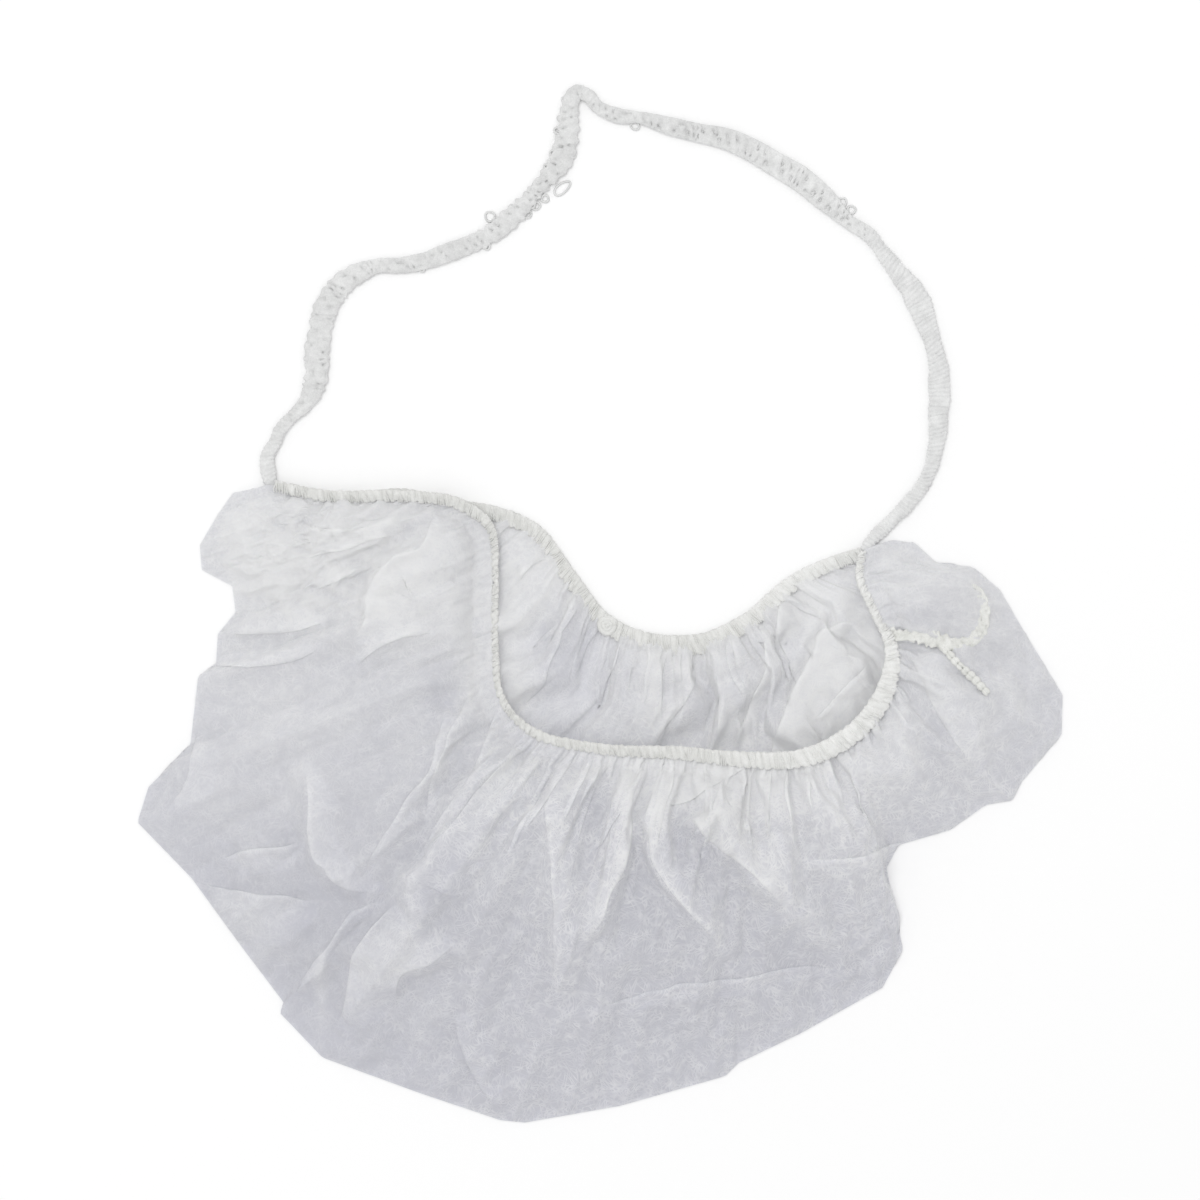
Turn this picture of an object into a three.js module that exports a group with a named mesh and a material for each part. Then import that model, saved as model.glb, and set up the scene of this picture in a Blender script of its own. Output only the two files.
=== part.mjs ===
// A disposable beard cover: a gathered pouch of thin nonwoven cloth that lies on a surface with its
// mouth pulled open, the elastic edge sewn round the mouth, and the elastic loop that goes round the
// head. Millimetres. +Z is up, +X runs along the mouth and +Y points from the pouch to the top of the
// head loop. The origin is on the resting surface, under the middle of the whole object.
import * as THREE from 'three';

// ---- Driving sizes ---------------------------------------------------------------------------------

const WALL = 1.4; // the cloth, with the loft of its small wrinkles
const EDGE_HEIGHT = 3.4; // the pouch along its outer fold
const EDGE_ROUNDING = 0.9; // how far the top of that fold steps in
const HOLLOW_INSET = 2.2; // from the outer fold to the end of the hollow
const MIN_HOLLOW = 1.2; // the least height left between the two sheets
const GAP = 0.6; // left between pieces that are sewn together

const BAND_WIDTH = 4.6; // the elastic edge round the mouth
const BAND_THICKNESS = 2.0;
const BACK_BAND_Z = BAND_THICKNESS / 2; // the back edge lies on the surface
const STRAP_THICKNESS = 2.2;
const TAIL_WIDTH = 1.8;
const TAIL_THICKNESS = 1.4;

const SHEET_ROWS = 8; // from the mouth to the outer fold
const COLUMN_STEP = 1 / 66; // the widest step between two columns of the cloth
const BAND_STEPS = 60; // along each half of the elastic edge
const STRAP_STEPS = 70;
const TURN_STEPS = 4; // where the edge turns from the back half to the front half
const CURL_STEPS = 22;
const TAIL_STEPS = 10;
const TANGENT_SHARE = 0.01; // of the mouth, to either side, for the direction of its edge

const FRONT_GATHERS = 19; // waves of the cloth along the front edge
const FRONT_GATHER_HEIGHT = 1.5;
const BACK_GATHERS = 13;
const BACK_GATHER_HEIGHT = 1.3;
const GATHER_START = 0.1; // the share of the sheet over which the gathers rise from the sewn edge
const GATHER_REACH = 0.55; // the share of the sheet over which they have run out again
const FOLD_FADE = 0.13; // the share of the sheet over which folds fade at the mouth and outer fold

// ---- Tables ----------------------------------------------------------------------------------------
// `at` runs from 0 at the left end of the mouth to 1 at its right end. A straight line of cloth joins
// the points of the mouth and of the outer fold that have the same `at`.

// The front edge of the mouth: it runs beside the back edge at first, then turns down and across.
const FRONT_EDGE = [
  { at: 0.0, x: -91.0, y: 32.5, z: 5.8 },
  { at: 0.06, x: -76, y: 29.6, z: 8.0 },
  { at: 0.12, x: -56, y: 29.6, z: 9.6 },
  { at: 0.18, x: -40, y: 27.6, z: 10.8 },
  { at: 0.23, x: -31.2, y: 21, z: 11.6 },
  { at: 0.27, x: -30, y: 8, z: 12.2 },
  { at: 0.32, x: -30, y: -11, z: 13.0 },
  { at: 0.37, x: -28, y: -27, z: 13.8 },
  { at: 0.42, x: -19, y: -37, z: 14.6 },
  { at: 0.49, x: 0, y: -41.5, z: 15.6 },
  { at: 0.57, x: 22, y: -42.3, z: 16.2 },
  { at: 0.64, x: 42, y: -44, z: 15.8 },
  { at: 0.7, x: 57, y: -43, z: 15.0 },
  { at: 0.76, x: 70, y: -35.5, z: 13.8 },
  { at: 0.81, x: 78.5, y: -24.5, z: 12.6 },
  { at: 0.86, x: 81, y: -13, z: 11.4 },
  { at: 0.91, x: 76.2, y: -1, z: 10.0 },
  { at: 0.95, x: 73, y: 7, z: 8.4 },
  { at: 1.0, x: 73.8, y: 14.2, z: 5.8 },
];

const BACK_EDGE = [
  { at: 0.0, x: -91.0, y: 32.5, z: BACK_BAND_Z },
  { at: 0.06, x: -84, y: 31.4, z: BACK_BAND_Z },
  { at: 0.12, x: -71, y: 30.8, z: BACK_BAND_Z },
  { at: 0.18, x: -56, y: 31.8, z: BACK_BAND_Z },
  { at: 0.23, x: -42, y: 28.8, z: BACK_BAND_Z },
  { at: 0.28, x: -28, y: 25.8, z: BACK_BAND_Z },
  { at: 0.33, x: -16.7, y: 20.2, z: BACK_BAND_Z },
  { at: 0.4, x: -7, y: 7.6, z: BACK_BAND_Z },
  { at: 0.47, x: 1.5, y: -3.6, z: BACK_BAND_Z },
  { at: 0.53, x: 11.3, y: -9, z: BACK_BAND_Z },
  { at: 0.62, x: 28, y: -10, z: BACK_BAND_Z },
  { at: 0.72, x: 41, y: -3.6, z: BACK_BAND_Z },
  { at: 0.82, x: 53, y: 6.2, z: BACK_BAND_Z },
  { at: 0.93, x: 64.5, y: 11.8, z: BACK_BAND_Z },
  { at: 1.0, x: 73.8, y: 14.2, z: BACK_BAND_Z },
];

// The outer fold of the pouch, from the left end of the mouth round the bottom to the right end. The
// cloth is stiff enough to fold in straight stretches, so these are corners.
const OUTER_FOLD = [
  { at: 0.0, x: -103, y: 30.2 },
  { at: 0.05, x: -107, y: 24.5 },
  { at: 0.1, x: -112, y: 16 },
  { at: 0.14, x: -111.5, y: 9 },
  { at: 0.18, x: -103, y: 4.5 },
  { at: 0.21, x: -102, y: -2.8 },
  { at: 0.235, x: -107, y: -9 },
  { at: 0.26, x: -107.5, y: -17.5 },
  { at: 0.275, x: -112.5, y: -20.8 },
  { at: 0.305, x: -114.7, y: -40 },
  { at: 0.33, x: -126.4, y: -51.8 },
  { at: 0.345, x: -129.5, y: -61.6 },
  { at: 0.37, x: -114.3, y: -77.3 },
  { at: 0.395, x: -100.7, y: -96 },
  { at: 0.42, x: -88.6, y: -112 },
  { at: 0.425, x: -89.6, y: -115 },
  { at: 0.445, x: -77.7, y: -127.5 },
  { at: 0.485, x: -50.3, y: -137.5 },
  { at: 0.52, x: -28, y: -145 },
  { at: 0.535, x: -21, y: -145.7 },
  { at: 0.58, x: 5.7, y: -141 },
  { at: 0.63, x: 35, y: -132.7 },
  { at: 0.64, x: 38.8, y: -129 },
  { at: 0.67, x: 56, y: -120.8 },
  { at: 0.71, x: 79, y: -108 },
  { at: 0.73, x: 84.8, y: -97.4 },
  { at: 0.755, x: 80.2, y: -74.5 },
  { at: 0.77, x: 83.6, y: -68 },
  { at: 0.79, x: 98, y: -63.8 },
  { at: 0.81, x: 108, y: -56.8 },
  { at: 0.82, x: 115.5, y: -55.5 },
  { at: 0.83, x: 118, y: -50.4 },
  { at: 0.85, x: 129.2, y: -37.2 },
  { at: 0.87, x: 129.5, y: -26 },
  { at: 0.9, x: 117.7, y: -6.5 },
  { at: 0.93, x: 112, y: 3.4 },
  { at: 0.95, x: 105, y: 9.4 },
  { at: 0.97, x: 94, y: 11.2 },
  { at: 0.985, x: 88.3, y: 16.4 },
  { at: 1.0, x: 83.4, y: 17.2 },
];

// Where both sheets start at the two ends of the mouth, clear of the turn of the elastic edge.
const CLOTH_CORNERS = [
  { at: 0, x: -91, y: 29.3 },
  { at: 1, x: 78.2, y: 12.8 },
];
const CORNER_SHARE = 0.035; // the share of the mouth over which the sheets draw together there

// How high the front sheet billows above the line from its edge to the outer fold.
const BILLOW = [
  { at: 0.0, height: 0 },
  { at: 0.08, height: 2.5 },
  { at: 0.2, height: 6 },
  { at: 0.3, height: 9 },
  { at: 0.42, height: 11.5 },
  { at: 0.55, height: 13 },
  { at: 0.68, height: 10.5 },
  { at: 0.8, height: 7 },
  { at: 0.92, height: 4 },
  { at: 1.0, height: 0 },
];

// The main folds of the front sheet. A positive height is a ridge, a negative one is a dent.
const FOLDS = [
  { name: 'long dent to the left corner', x1: -81, y1: -44, x2: -80, y2: -71, height: -2.6, width: 5 },
  { name: 'its hook towards the middle', x1: -80, y1: -71, x2: -60, y2: -82, height: 2.8, width: 5 },
  { name: 'ridge down to the lower left', x1: -60, y1: -84, x2: -86, y2: -109, height: 3.2, width: 5 },
  { name: 'notch beside the left corner', x1: -101, y1: -69, x2: -87, y2: -67, height: -2.4, width: 4 },
  { name: 'lower step of the left side', x1: -106, y1: -20, x2: -72, y2: -11, height: 2.2, width: 4 },
  { name: 'upper step of the left side', x1: -100, y1: -3, x2: -66, y2: -3, height: 2.4, width: 4 },
  { name: 'doubled fold by the front edge', x1: -66, y1: 2, x2: -40, y2: 19, height: 3.0, width: 6 },
  { name: 'left long pleat', x1: -37, y1: -12, x2: -76, y2: -46, height: 3.0, width: 4.5 },
  { name: 'next long pleat', x1: -32, y1: -28, x2: -57, y2: -72, height: 3.2, width: 4.5 },
  { name: 'dent between pleats', x1: -14, y1: -58, x2: -24, y2: -104, height: -3.2, width: 6 },
  { name: 'ridge under the middle', x1: 10, y1: -56, x2: 2, y2: -88, height: 3.4, width: 4.5 },
  { name: 'dark dent under the middle', x1: 14, y1: -60, x2: 14, y2: -84, height: -3.4, width: 4 },
  { name: 'long ridge to the right', x1: 17, y1: -57, x2: 37, y2: -101, height: 3.6, width: 4.5 },
  { name: 'short ridge beside it', x1: 47, y1: -76, x2: 65, y2: -98, height: 2.6, width: 4.5 },
  { name: 'hem that shows near the bottom', x1: 2, y1: -111, x2: 56, y2: -102, height: 2.0, width: 4 },
  { name: 'lower left dent', x1: -73, y1: -112, x2: -60, y2: -124, height: -2.2, width: 5 },
  { name: 'root of the right lobe', x1: 57, y1: -71, x2: 76, y2: -71, height: -2.6, width: 5 },
  { name: 'pleat of the right lobe', x1: 86, y1: -18, x2: 100, y2: -46, height: 2.4, width: 4.5 },
];

// The head loop, from the left end of the mouth over the top to the right end.
const STRAP_ROUTE = [
  { x: -92.2, y: 35.4, width: 5.0 },
  { x: -92.3, y: 41, width: 4.6 },
  { x: -89.7, y: 48.2, width: 5.2 },
  { x: -83.9, y: 55.7, width: 5.6 },
  { x: -79.4, y: 65, width: 6.6 },
  { x: -78.8, y: 76, width: 6.4 },
  { x: -75.5, y: 87.2, width: 6.0 },
  { x: -68.4, y: 93.6, width: 5.2 },
  { x: -56, y: 95, width: 4.6 },
  { x: -43.3, y: 98.6, width: 5.4 },
  { x: -30.7, y: 103.6, width: 5.6 },
  { x: -18.1, y: 111.4, width: 5.4 },
  { x: -10.6, y: 121.4, width: 5.4 },
  { x: -8.4, y: 132, width: 5.2 },
  { x: -7.9, y: 139.6, width: 4.8 },
  { x: -4.9, y: 143.4, width: 4.8 },
  { x: 0.6, y: 140.4, width: 4.8 },
  { x: 11.3, y: 135.8, width: 6.2 },
  { x: 28, y: 131.8, width: 6.4 },
  { x: 42, y: 126.8, width: 6.2 },
  { x: 56, y: 118.9, width: 5.8 },
  { x: 70, y: 107.6, width: 6.0 },
  { x: 78.5, y: 97.8, width: 5.4 },
  { x: 86, y: 87.6, width: 5.6 },
  { x: 91.4, y: 79, width: 5.6 },
  { x: 94.8, y: 68, width: 5.2 },
  { x: 95.2, y: 56.6, width: 5.6 },
  { x: 94.2, y: 45.4, width: 5.2 },
  { x: 89.7, y: 33.4, width: 5.0 },
  { x: 81.4, y: 23.6, width: 4.6 },
  { x: 75.6, y: 17.9, width: 4.6 },
];

const CURL_ROUTE = [
  { x: 84.6, y: -10.4, width: 4.6 },
  { x: 91, y: -9.6, width: 6.2 },
  { x: 98, y: -10.6, width: 5.4 },
  { x: 104, y: -10.2, width: 5.0 },
  { x: 107.4, y: -6, width: 4.6 },
  { x: 106.6, y: 0, width: 4.2 },
  { x: 103.2, y: 5, width: 3.8 },
  { x: 97, y: 8.4, width: 3.2 },
];

const TAIL_ROUTE = [
  { x: 96.2, y: -15, width: TAIL_WIDTH },
  { x: 100.2, y: -17.8, width: TAIL_WIDTH },
  { x: 103.4, y: -20.8, width: TAIL_WIDTH },
  { x: 107.4, y: -25.2, width: TAIL_WIDTH },
];

// ---- Small helpers ---------------------------------------------------------------------------------

const UP = new THREE.Vector3(0, 0, 1);

function mix(a, b, share) {
  return a + (b - a) * share;
}

// A soft step from 0 to 1 as value goes from low to high.
function softStep(low, high, value) {
  return THREE.MathUtils.smoothstep(value, low, high);
}

// The row of a table that lies below `at`, and how far `at` is on the way to the next row.
function findRow(rows, at) {
  let index = 0;
  while (index < rows.length - 2 && rows[index + 1].at <= at) {
    index += 1;
  }
  const share = (at - rows[index].at) / (rows[index + 1].at - rows[index].at);
  return { index, share };
}

function columnAt(rows, name, at) {
  const { index, share } = findRow(rows, at);
  return mix(rows[index][name], rows[index + 1][name], share);
}

function cornerAt(rows, at) {
  return new THREE.Vector3(columnAt(rows, 'x', at), columnAt(rows, 'y', at), 0);
}

function smoothCurve(rows) {
  const knots = rows.map((row) => new THREE.Vector3(row.x, row.y, row.z ?? 0));
  return new THREE.CatmullRomCurve3(knots, false, 'centripetal');
}

// A point of a smooth curve through a table's rows, at the table's own `at`.
function smoothPointAt(rows, curve, at) {
  const { index, share } = findRow(rows, at);
  return curve.getPoint((index + share) / (rows.length - 1));
}

function distanceToSegment(x, y, fold) {
  const alongX = fold.x2 - fold.x1;
  const alongY = fold.y2 - fold.y1;
  const lengthSquared = alongX * alongX + alongY * alongY;
  const reached = ((x - fold.x1) * alongX + (y - fold.y1) * alongY) / lengthSquared;
  const share = THREE.MathUtils.clamp(reached, 0, 1);
  return Math.hypot(x - fold.x1 - alongX * share, y - fold.y1 - alongY * share);
}

// ---- Mesh building ---------------------------------------------------------------------------------

// Collects triangles by vertex number, so that every edge is shared and the solid is closed.
class SolidBuilder {
  constructor() {
    this.positions = [];
    this.indices = [];
  }

  vertex(x, y, z) {
    this.positions.push(x, y, z);
    return this.positions.length / 3 - 1;
  }

  triangle(a, b, c) {
    if (a !== b && b !== c && c !== a) {
      this.indices.push(a, b, c);
    }
  }

  quad(a, b, c, d) {
    this.triangle(a, b, c);
    this.triangle(a, c, d);
  }

  geometry() {
    const geometry = new THREE.BufferGeometry();
    geometry.setAttribute('position', new THREE.Float32BufferAttribute(this.positions, 3));
    geometry.setIndex(this.indices);
    geometry.computeVertexNormals();
    return geometry;
  }
}

// The outline of a flat band with rounded edges, as shares of half its width and half its thickness.
const BAND_SECTION = [
  { side: 1, top: 0.35 },
  { side: 0.72, top: 1 },
  { side: -0.72, top: 1 },
  { side: -1, top: 0.35 },
  { side: -1, top: -0.35 },
  { side: -0.72, top: -1 },
  { side: 0.72, top: -1 },
  { side: 1, top: -0.35 },
];

// A flat band through stations of { centre, side, width }, where side is a level unit vector across it.
function buildBand(stations, thickness, closed) {
  const solid = new SolidBuilder();
  const count = stations.length;
  const rings = stations.map((station, index) => {
    const before = closed ? (index - 1 + count) % count : Math.max(index - 1, 0);
    const after = closed ? (index + 1) % count : Math.min(index + 1, count - 1);
    const along = stations[after].centre.clone().sub(stations[before].centre).normalize();
    const top = new THREE.Vector3().crossVectors(station.side, along).normalize();
    return BAND_SECTION.map((corner) => {
      const point = station.centre.clone();
      point.addScaledVector(station.side, (corner.side * station.width) / 2);
      point.addScaledVector(top, (corner.top * thickness) / 2);
      return solid.vertex(point.x, point.y, point.z);
    });
  });
  const last = closed ? count : count - 1;
  for (let index = 0; index < last; index += 1) {
    const here = rings[index];
    const next = rings[(index + 1) % count];
    for (let corner = 0; corner < here.length; corner += 1) {
      const other = (corner + 1) % here.length;
      solid.quad(here[corner], next[corner], next[other], here[other]);
    }
  }
  if (!closed) {
    for (let corner = 1; corner < BAND_SECTION.length - 1; corner += 1) {
      const end = rings[count - 1];
      solid.triangle(rings[0][0], rings[0][corner], rings[0][corner + 1]);
      solid.triangle(end[0], end[corner + 1], end[corner]);
    }
  }
  return solid.geometry();
}

// ---- The pouch -------------------------------------------------------------------------------------

const frontCurve = smoothCurve(FRONT_EDGE);
const backCurve = smoothCurve(BACK_EDGE);

// Columns stand at every corner of the outer fold, with even steps between them.
function columnPlaces() {
  const places = [OUTER_FOLD[0].at];
  for (let row = 1; row < OUTER_FOLD.length; row += 1) {
    const start = OUTER_FOLD[row - 1].at;
    const end = OUTER_FOLD[row].at;
    const steps = Math.ceil((end - start) / COLUMN_STEP - 1e-6);
    for (let step = 1; step <= steps; step += 1) {
      places.push(mix(start, end, step / steps));
    }
  }
  return places;
}

// The height of the folds at a point, fading out towards the mouth and the outer fold.
function foldHeight(x, y, across) {
  let height = 0;
  for (const fold of FOLDS) {
    const reach = distanceToSegment(x, y, fold) / fold.width;
    height += fold.height * Math.exp(-reach * reach);
  }
  return height * softStep(0, FOLD_FADE, across) * (1 - softStep(1 - FOLD_FADE, 1, across));
}

// Gathers start at the sewn edge, are fullest just beyond it and run out across the sheet.
function gatherFade(across) {
  return softStep(0, GATHER_START, across) * (1 - softStep(GATHER_START, GATHER_REACH, across));
}

function backRise(at, across) {
  const wave = 0.5 - 0.5 * Math.cos(2 * Math.PI * BACK_GATHERS * at);
  const open = softStep(0.34, 0.42, at) * (1 - softStep(0.84, 0.92, at));
  return BACK_GATHER_HEIGHT * wave * open * gatherFade(across);
}

function frontHeight(at, across, x, y) {
  const edgeZ = columnAt(FRONT_EDGE, 'z', at) + WALL / 2;
  const slope = mix(edgeZ, EDGE_HEIGHT, softStep(0, 1, across));
  const billow = columnAt(BILLOW, 'height', at) * Math.sin(Math.PI * across ** 0.8);
  const wave = Math.cos(2 * Math.PI * FRONT_GATHERS * at);
  const open = softStep(0, 0.1, at) * (1 - softStep(0.93, 1, at));
  const gathers = FRONT_GATHER_HEIGHT * wave * open * gatherFade(across);
  const height = slope + billow + gathers + foldHeight(x, y, across);
  const lowest = mix(2 * WALL + MIN_HOLLOW, EDGE_HEIGHT, softStep(0.8, 1, across));
  return Math.max(height, lowest);
}

// The unit vector across an edge of the mouth, pointing away from the cloth.
function acrossEdge(rows, curve, at) {
  const before = smoothPointAt(rows, curve, Math.max(at - TANGENT_SHARE, 0));
  const after = smoothPointAt(rows, curve, Math.min(at + TANGENT_SHARE, 1));
  const along = after.sub(before).setZ(0).normalize();
  return new THREE.Vector3().crossVectors(UP, along);
}

// Where the cloth starts: just beside the elastic edge.
function clothStart(rows, curve, at) {
  const start = smoothPointAt(rows, curve, at).setZ(0);
  start.addScaledVector(acrossEdge(rows, curve, at), -BAND_WIDTH / 2 - GAP);
  const nearest = at < 0.5 ? CLOTH_CORNERS[0] : CLOTH_CORNERS[1];
  const pull = 1 - softStep(0, CORNER_SHARE, Math.abs(at - nearest.at));
  return start.lerp(new THREE.Vector3(nearest.x, nearest.y, 0), pull);
}

// One column of the cloth: its four rows of points, from the mouth to the outer fold.
function pouchColumn(at) {
  const fold = cornerAt(OUTER_FOLD, at);
  const front = clothStart(FRONT_EDGE, frontCurve, at);
  const back = clothStart(BACK_EDGE, backCurve, at);
  const column = { topFace: [], ceiling: [], floor: [], underside: [] };
  for (let row = 0; row <= SHEET_ROWS; row += 1) {
    const across = row / SHEET_ROWS;
    const over = front.clone().lerp(fold, across);
    const under = back.clone().lerp(fold, across);
    const height = frontHeight(at, across, over.x, over.y);
    const rise = backRise(at, across);
    column.topFace.push(over.clone().setZ(height));
    column.ceiling.push(over.clone().setZ(height - WALL));
    column.floor.push(under.clone().setZ(WALL + rise));
    column.underside.push(under.clone().setZ(rise));
  }
  const frontInward = front.clone().sub(fold).normalize();
  column.topFace[SHEET_ROWS].addScaledVector(frontInward, EDGE_ROUNDING);
  column.floor[SHEET_ROWS].addScaledVector(frontInward, HOLLOW_INSET);
  column.ceiling[SHEET_ROWS].copy(column.floor[SHEET_ROWS]);
  return column;
}

// At each end of the mouth the hollow closes: floor and ceiling meet, one wall inside the end face.
function closeHollow(endColumn, nextColumn) {
  for (let row = 0; row <= SHEET_ROWS; row += 1) {
    const floor = endColumn.floor[row];
    const ceiling = endColumn.ceiling[row];
    const middle = floor.clone().add(ceiling).multiplyScalar(0.5);
    const next = nextColumn.floor[row].clone().add(nextColumn.ceiling[row]).multiplyScalar(0.5);
    const inward = next.sub(middle).setZ(0).normalize();
    middle.addScaledVector(inward, WALL);
    floor.copy(middle);
    ceiling.copy(middle);
  }
}

function buildPouch() {
  const solid = new SolidBuilder();
  const columns = columnPlaces().map(pouchColumn);
  const last = columns.length - 1;
  closeHollow(columns[0], columns[1]);
  closeHollow(columns[last], columns[last - 1]);

  const numbered = columns.map((column, index) => {
    const add = (point) => solid.vertex(point.x, point.y, point.z);
    const topFace = column.topFace.map(add);
    const underside = column.underside.map(add);
    const floor = column.floor.map(add);
    const isEnd = index === 0 || index === last;
    const ceiling = column.ceiling.map((point, row) => {
      return isEnd || row === SHEET_ROWS ? floor[row] : add(point);
    });
    return { topFace, underside, floor, ceiling };
  });

  // Each column is one closed line round the cloth, and neighbouring lines are joined.
  const lines = numbered.map(({ topFace, underside, floor, ceiling }) => {
    return [...topFace, ...underside.toReversed(), ...floor, ...ceiling.slice(0, -1).toReversed()];
  });
  for (let index = 0; index < last; index += 1) {
    const here = lines[index];
    const next = lines[index + 1];
    for (let place = 0; place < here.length; place += 1) {
      const other = (place + 1) % here.length;
      solid.quad(here[place], here[other], next[other], next[place]);
    }
  }

  closePouchEnd(solid, numbered[0], false);
  closePouchEnd(solid, numbered[last], true);
  return solid.geometry();
}

// The upright end face between the top face and the underside, with the hollow's first point in it.
function closePouchEnd(solid, { topFace, underside, floor }, atRight) {
  for (let row = 0; row < SHEET_ROWS; row += 1) {
    const corners = [topFace[row], topFace[row + 1], underside[row + 1], underside[row]];
    solid.quad(...(atRight ? corners : corners.toReversed()));
  }
  const lip = [topFace[0], underside[0], floor[0]];
  solid.triangle(...(atRight ? lip : lip.toReversed()));
}

// ---- The elastic edge round the mouth --------------------------------------------------------------

// Stations along one half of the edge; the side vector points away from the cloth.
function edgeStations(rows, curve) {
  const stations = [];
  for (let step = 0; step <= BAND_STEPS; step += 1) {
    const at = step / BAND_STEPS;
    const centre = smoothPointAt(rows, curve, at);
    const side = acrossEdge(rows, curve, at);
    stations.push({ centre, side, width: BAND_WIDTH });
  }
  return stations;
}

// The edge stands up in a half circle where it turns from one half to the other.
function turnStations(from, to, outward) {
  const stations = [];
  const middle = from.centre.clone().add(to.centre).multiplyScalar(0.5);
  const radius = from.centre.distanceTo(to.centre) / 2;
  const upwards = to.centre.clone().sub(middle).normalize();
  for (let step = 1; step < TURN_STEPS; step += 1) {
    const share = step / TURN_STEPS;
    const angle = Math.PI * share;
    const centre = middle.clone().addScaledVector(upwards, -radius * Math.cos(angle));
    centre.addScaledVector(outward, radius * Math.sin(angle));
    const side = from.side.clone().lerp(to.side, share).normalize();
    stations.push({ centre, side, width: BAND_WIDTH });
  }
  return stations;
}

function buildMouthBinding() {
  const back = edgeStations(BACK_EDGE, backCurve);
  const front = edgeStations(FRONT_EDGE, frontCurve).toReversed();
  const right = turnStations(back.at(-1), front[0], new THREE.Vector3(0.7, 0.71, 0));
  const left = turnStations(front.at(-1), back[0], new THREE.Vector3(-1, 0, 0));
  return buildBand([...back, ...right, ...front, ...left], BAND_THICKNESS, true);
}

// ---- Straps and loose ends -------------------------------------------------------------------------

// Stations at even steps along a route that lies on something, `heightAt` giving its centre's height.
function routeStations(route, steps, heightAt) {
  const curve = smoothCurve(route);
  const stations = [];
  for (let step = 0; step <= steps; step += 1) {
    const share = step / steps;
    const centre = curve.getPointAt(share);
    const along = curve.getTangentAt(share).setZ(0).normalize();
    const side = new THREE.Vector3().crossVectors(UP, along);
    const place = curve.getUtoTmapping(share) * (route.length - 1);
    const row = Math.min(Math.floor(place), route.length - 2);
    const width = mix(route[row].width, route[row + 1].width, place - row);
    centre.z = heightAt(centre, width);
    stations.push({ centre, side, width });
  }
  return stations;
}

function buildHeadLoop() {
  const stations = routeStations(STRAP_ROUTE, STRAP_STEPS, () => STRAP_THICKNESS / 2);
  return buildBand(stations, STRAP_THICKNESS, false);
}

// The height at which a band of a given thickness clears the top of the pouch under its footprint.
// The pouch is probed from above, in turn near the band's middle and just outside its edges.
function heightOnPouch(pouch, thickness) {
  const caster = new THREE.Raycaster();
  const down = new THREE.Vector3(0, 0, -1);
  const startHeight = 100;
  const probes = 12;
  return (centre, width) => {
    let highest = 0;
    for (let probe = 0; probe < probes; probe += 1) {
      const angle = (probe / probes) * 2 * Math.PI;
      const reach = probe % 2 === 0 ? width / 2 + GAP : width / 4;
      const x = centre.x + Math.cos(angle) * reach;
      const y = centre.y + Math.sin(angle) * reach;
      caster.set(new THREE.Vector3(x, y, startHeight), down);
      const [hit] = caster.intersectObject(pouch);
      highest = Math.max(highest, hit ? hit.point.z : 0);
    }
    return highest + GAP + thickness / 2;
  };
}

// A loose band that lies on the pouch, its height evened out so that it doesn't copy every gather.
function buildLooseBand(pouch, route, steps, thickness) {
  const stations = routeStations(route, steps, heightOnPouch(pouch, thickness));
  const heights = stations.map((station) => station.centre.z);
  stations.forEach((station, index) => {
    const near = heights.slice(Math.max(index - 1, 0), index + 2);
    station.centre.z = Math.max(...near);
  });
  return buildBand(stations, thickness, false);
}

// ---- Materials and assembly ------------------------------------------------------------------------

const cloth = new THREE.MeshStandardMaterial({ color: 0xd4d5da, roughness: 0.95, metalness: 0 });
const elastic = new THREE.MeshStandardMaterial({ color: 0xe6e7e4, roughness: 0.9, metalness: 0 });

function namedMesh(name, geometry, material) {
  const mesh = new THREE.Mesh(geometry, material);
  mesh.name = name;
  return mesh;
}

const pouch = namedMesh('pouch', buildPouch(), cloth);
pouch.updateMatrixWorld();

const curl = buildLooseBand(pouch, CURL_ROUTE, CURL_STEPS, BAND_THICKNESS);
const tail = buildLooseBand(pouch, TAIL_ROUTE, TAIL_STEPS, TAIL_THICKNESS);

const beardCover = new THREE.Group();
beardCover.add(pouch);
beardCover.add(namedMesh('mouth_binding', buildMouthBinding(), elastic));
beardCover.add(namedMesh('head_loop', buildHeadLoop(), elastic));
beardCover.add(namedMesh('binding_curl', curl, elastic));
beardCover.add(namedMesh('thread_tail', tail, elastic));

// Puts the origin under the middle of the whole object.
const extent = new THREE.Box3().setFromObject(beardCover);
const middle = extent.getCenter(new THREE.Vector3());
beardCover.position.set(-middle.x, -middle.y, -extent.min.z);

export default beardCover;
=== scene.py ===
"""A disposable beard cover: a gathered pouch of thin nonwoven cloth, its overlocked elastic mouth edge
and its knitted head loop, lying on a pale floor. Everything is in metres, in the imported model's frame;
the tables are in millimetres, as in the model's own source."""

import bpy
import numpy as np
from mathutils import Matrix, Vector
from mathutils.bvhtree import BVHTree


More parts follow.
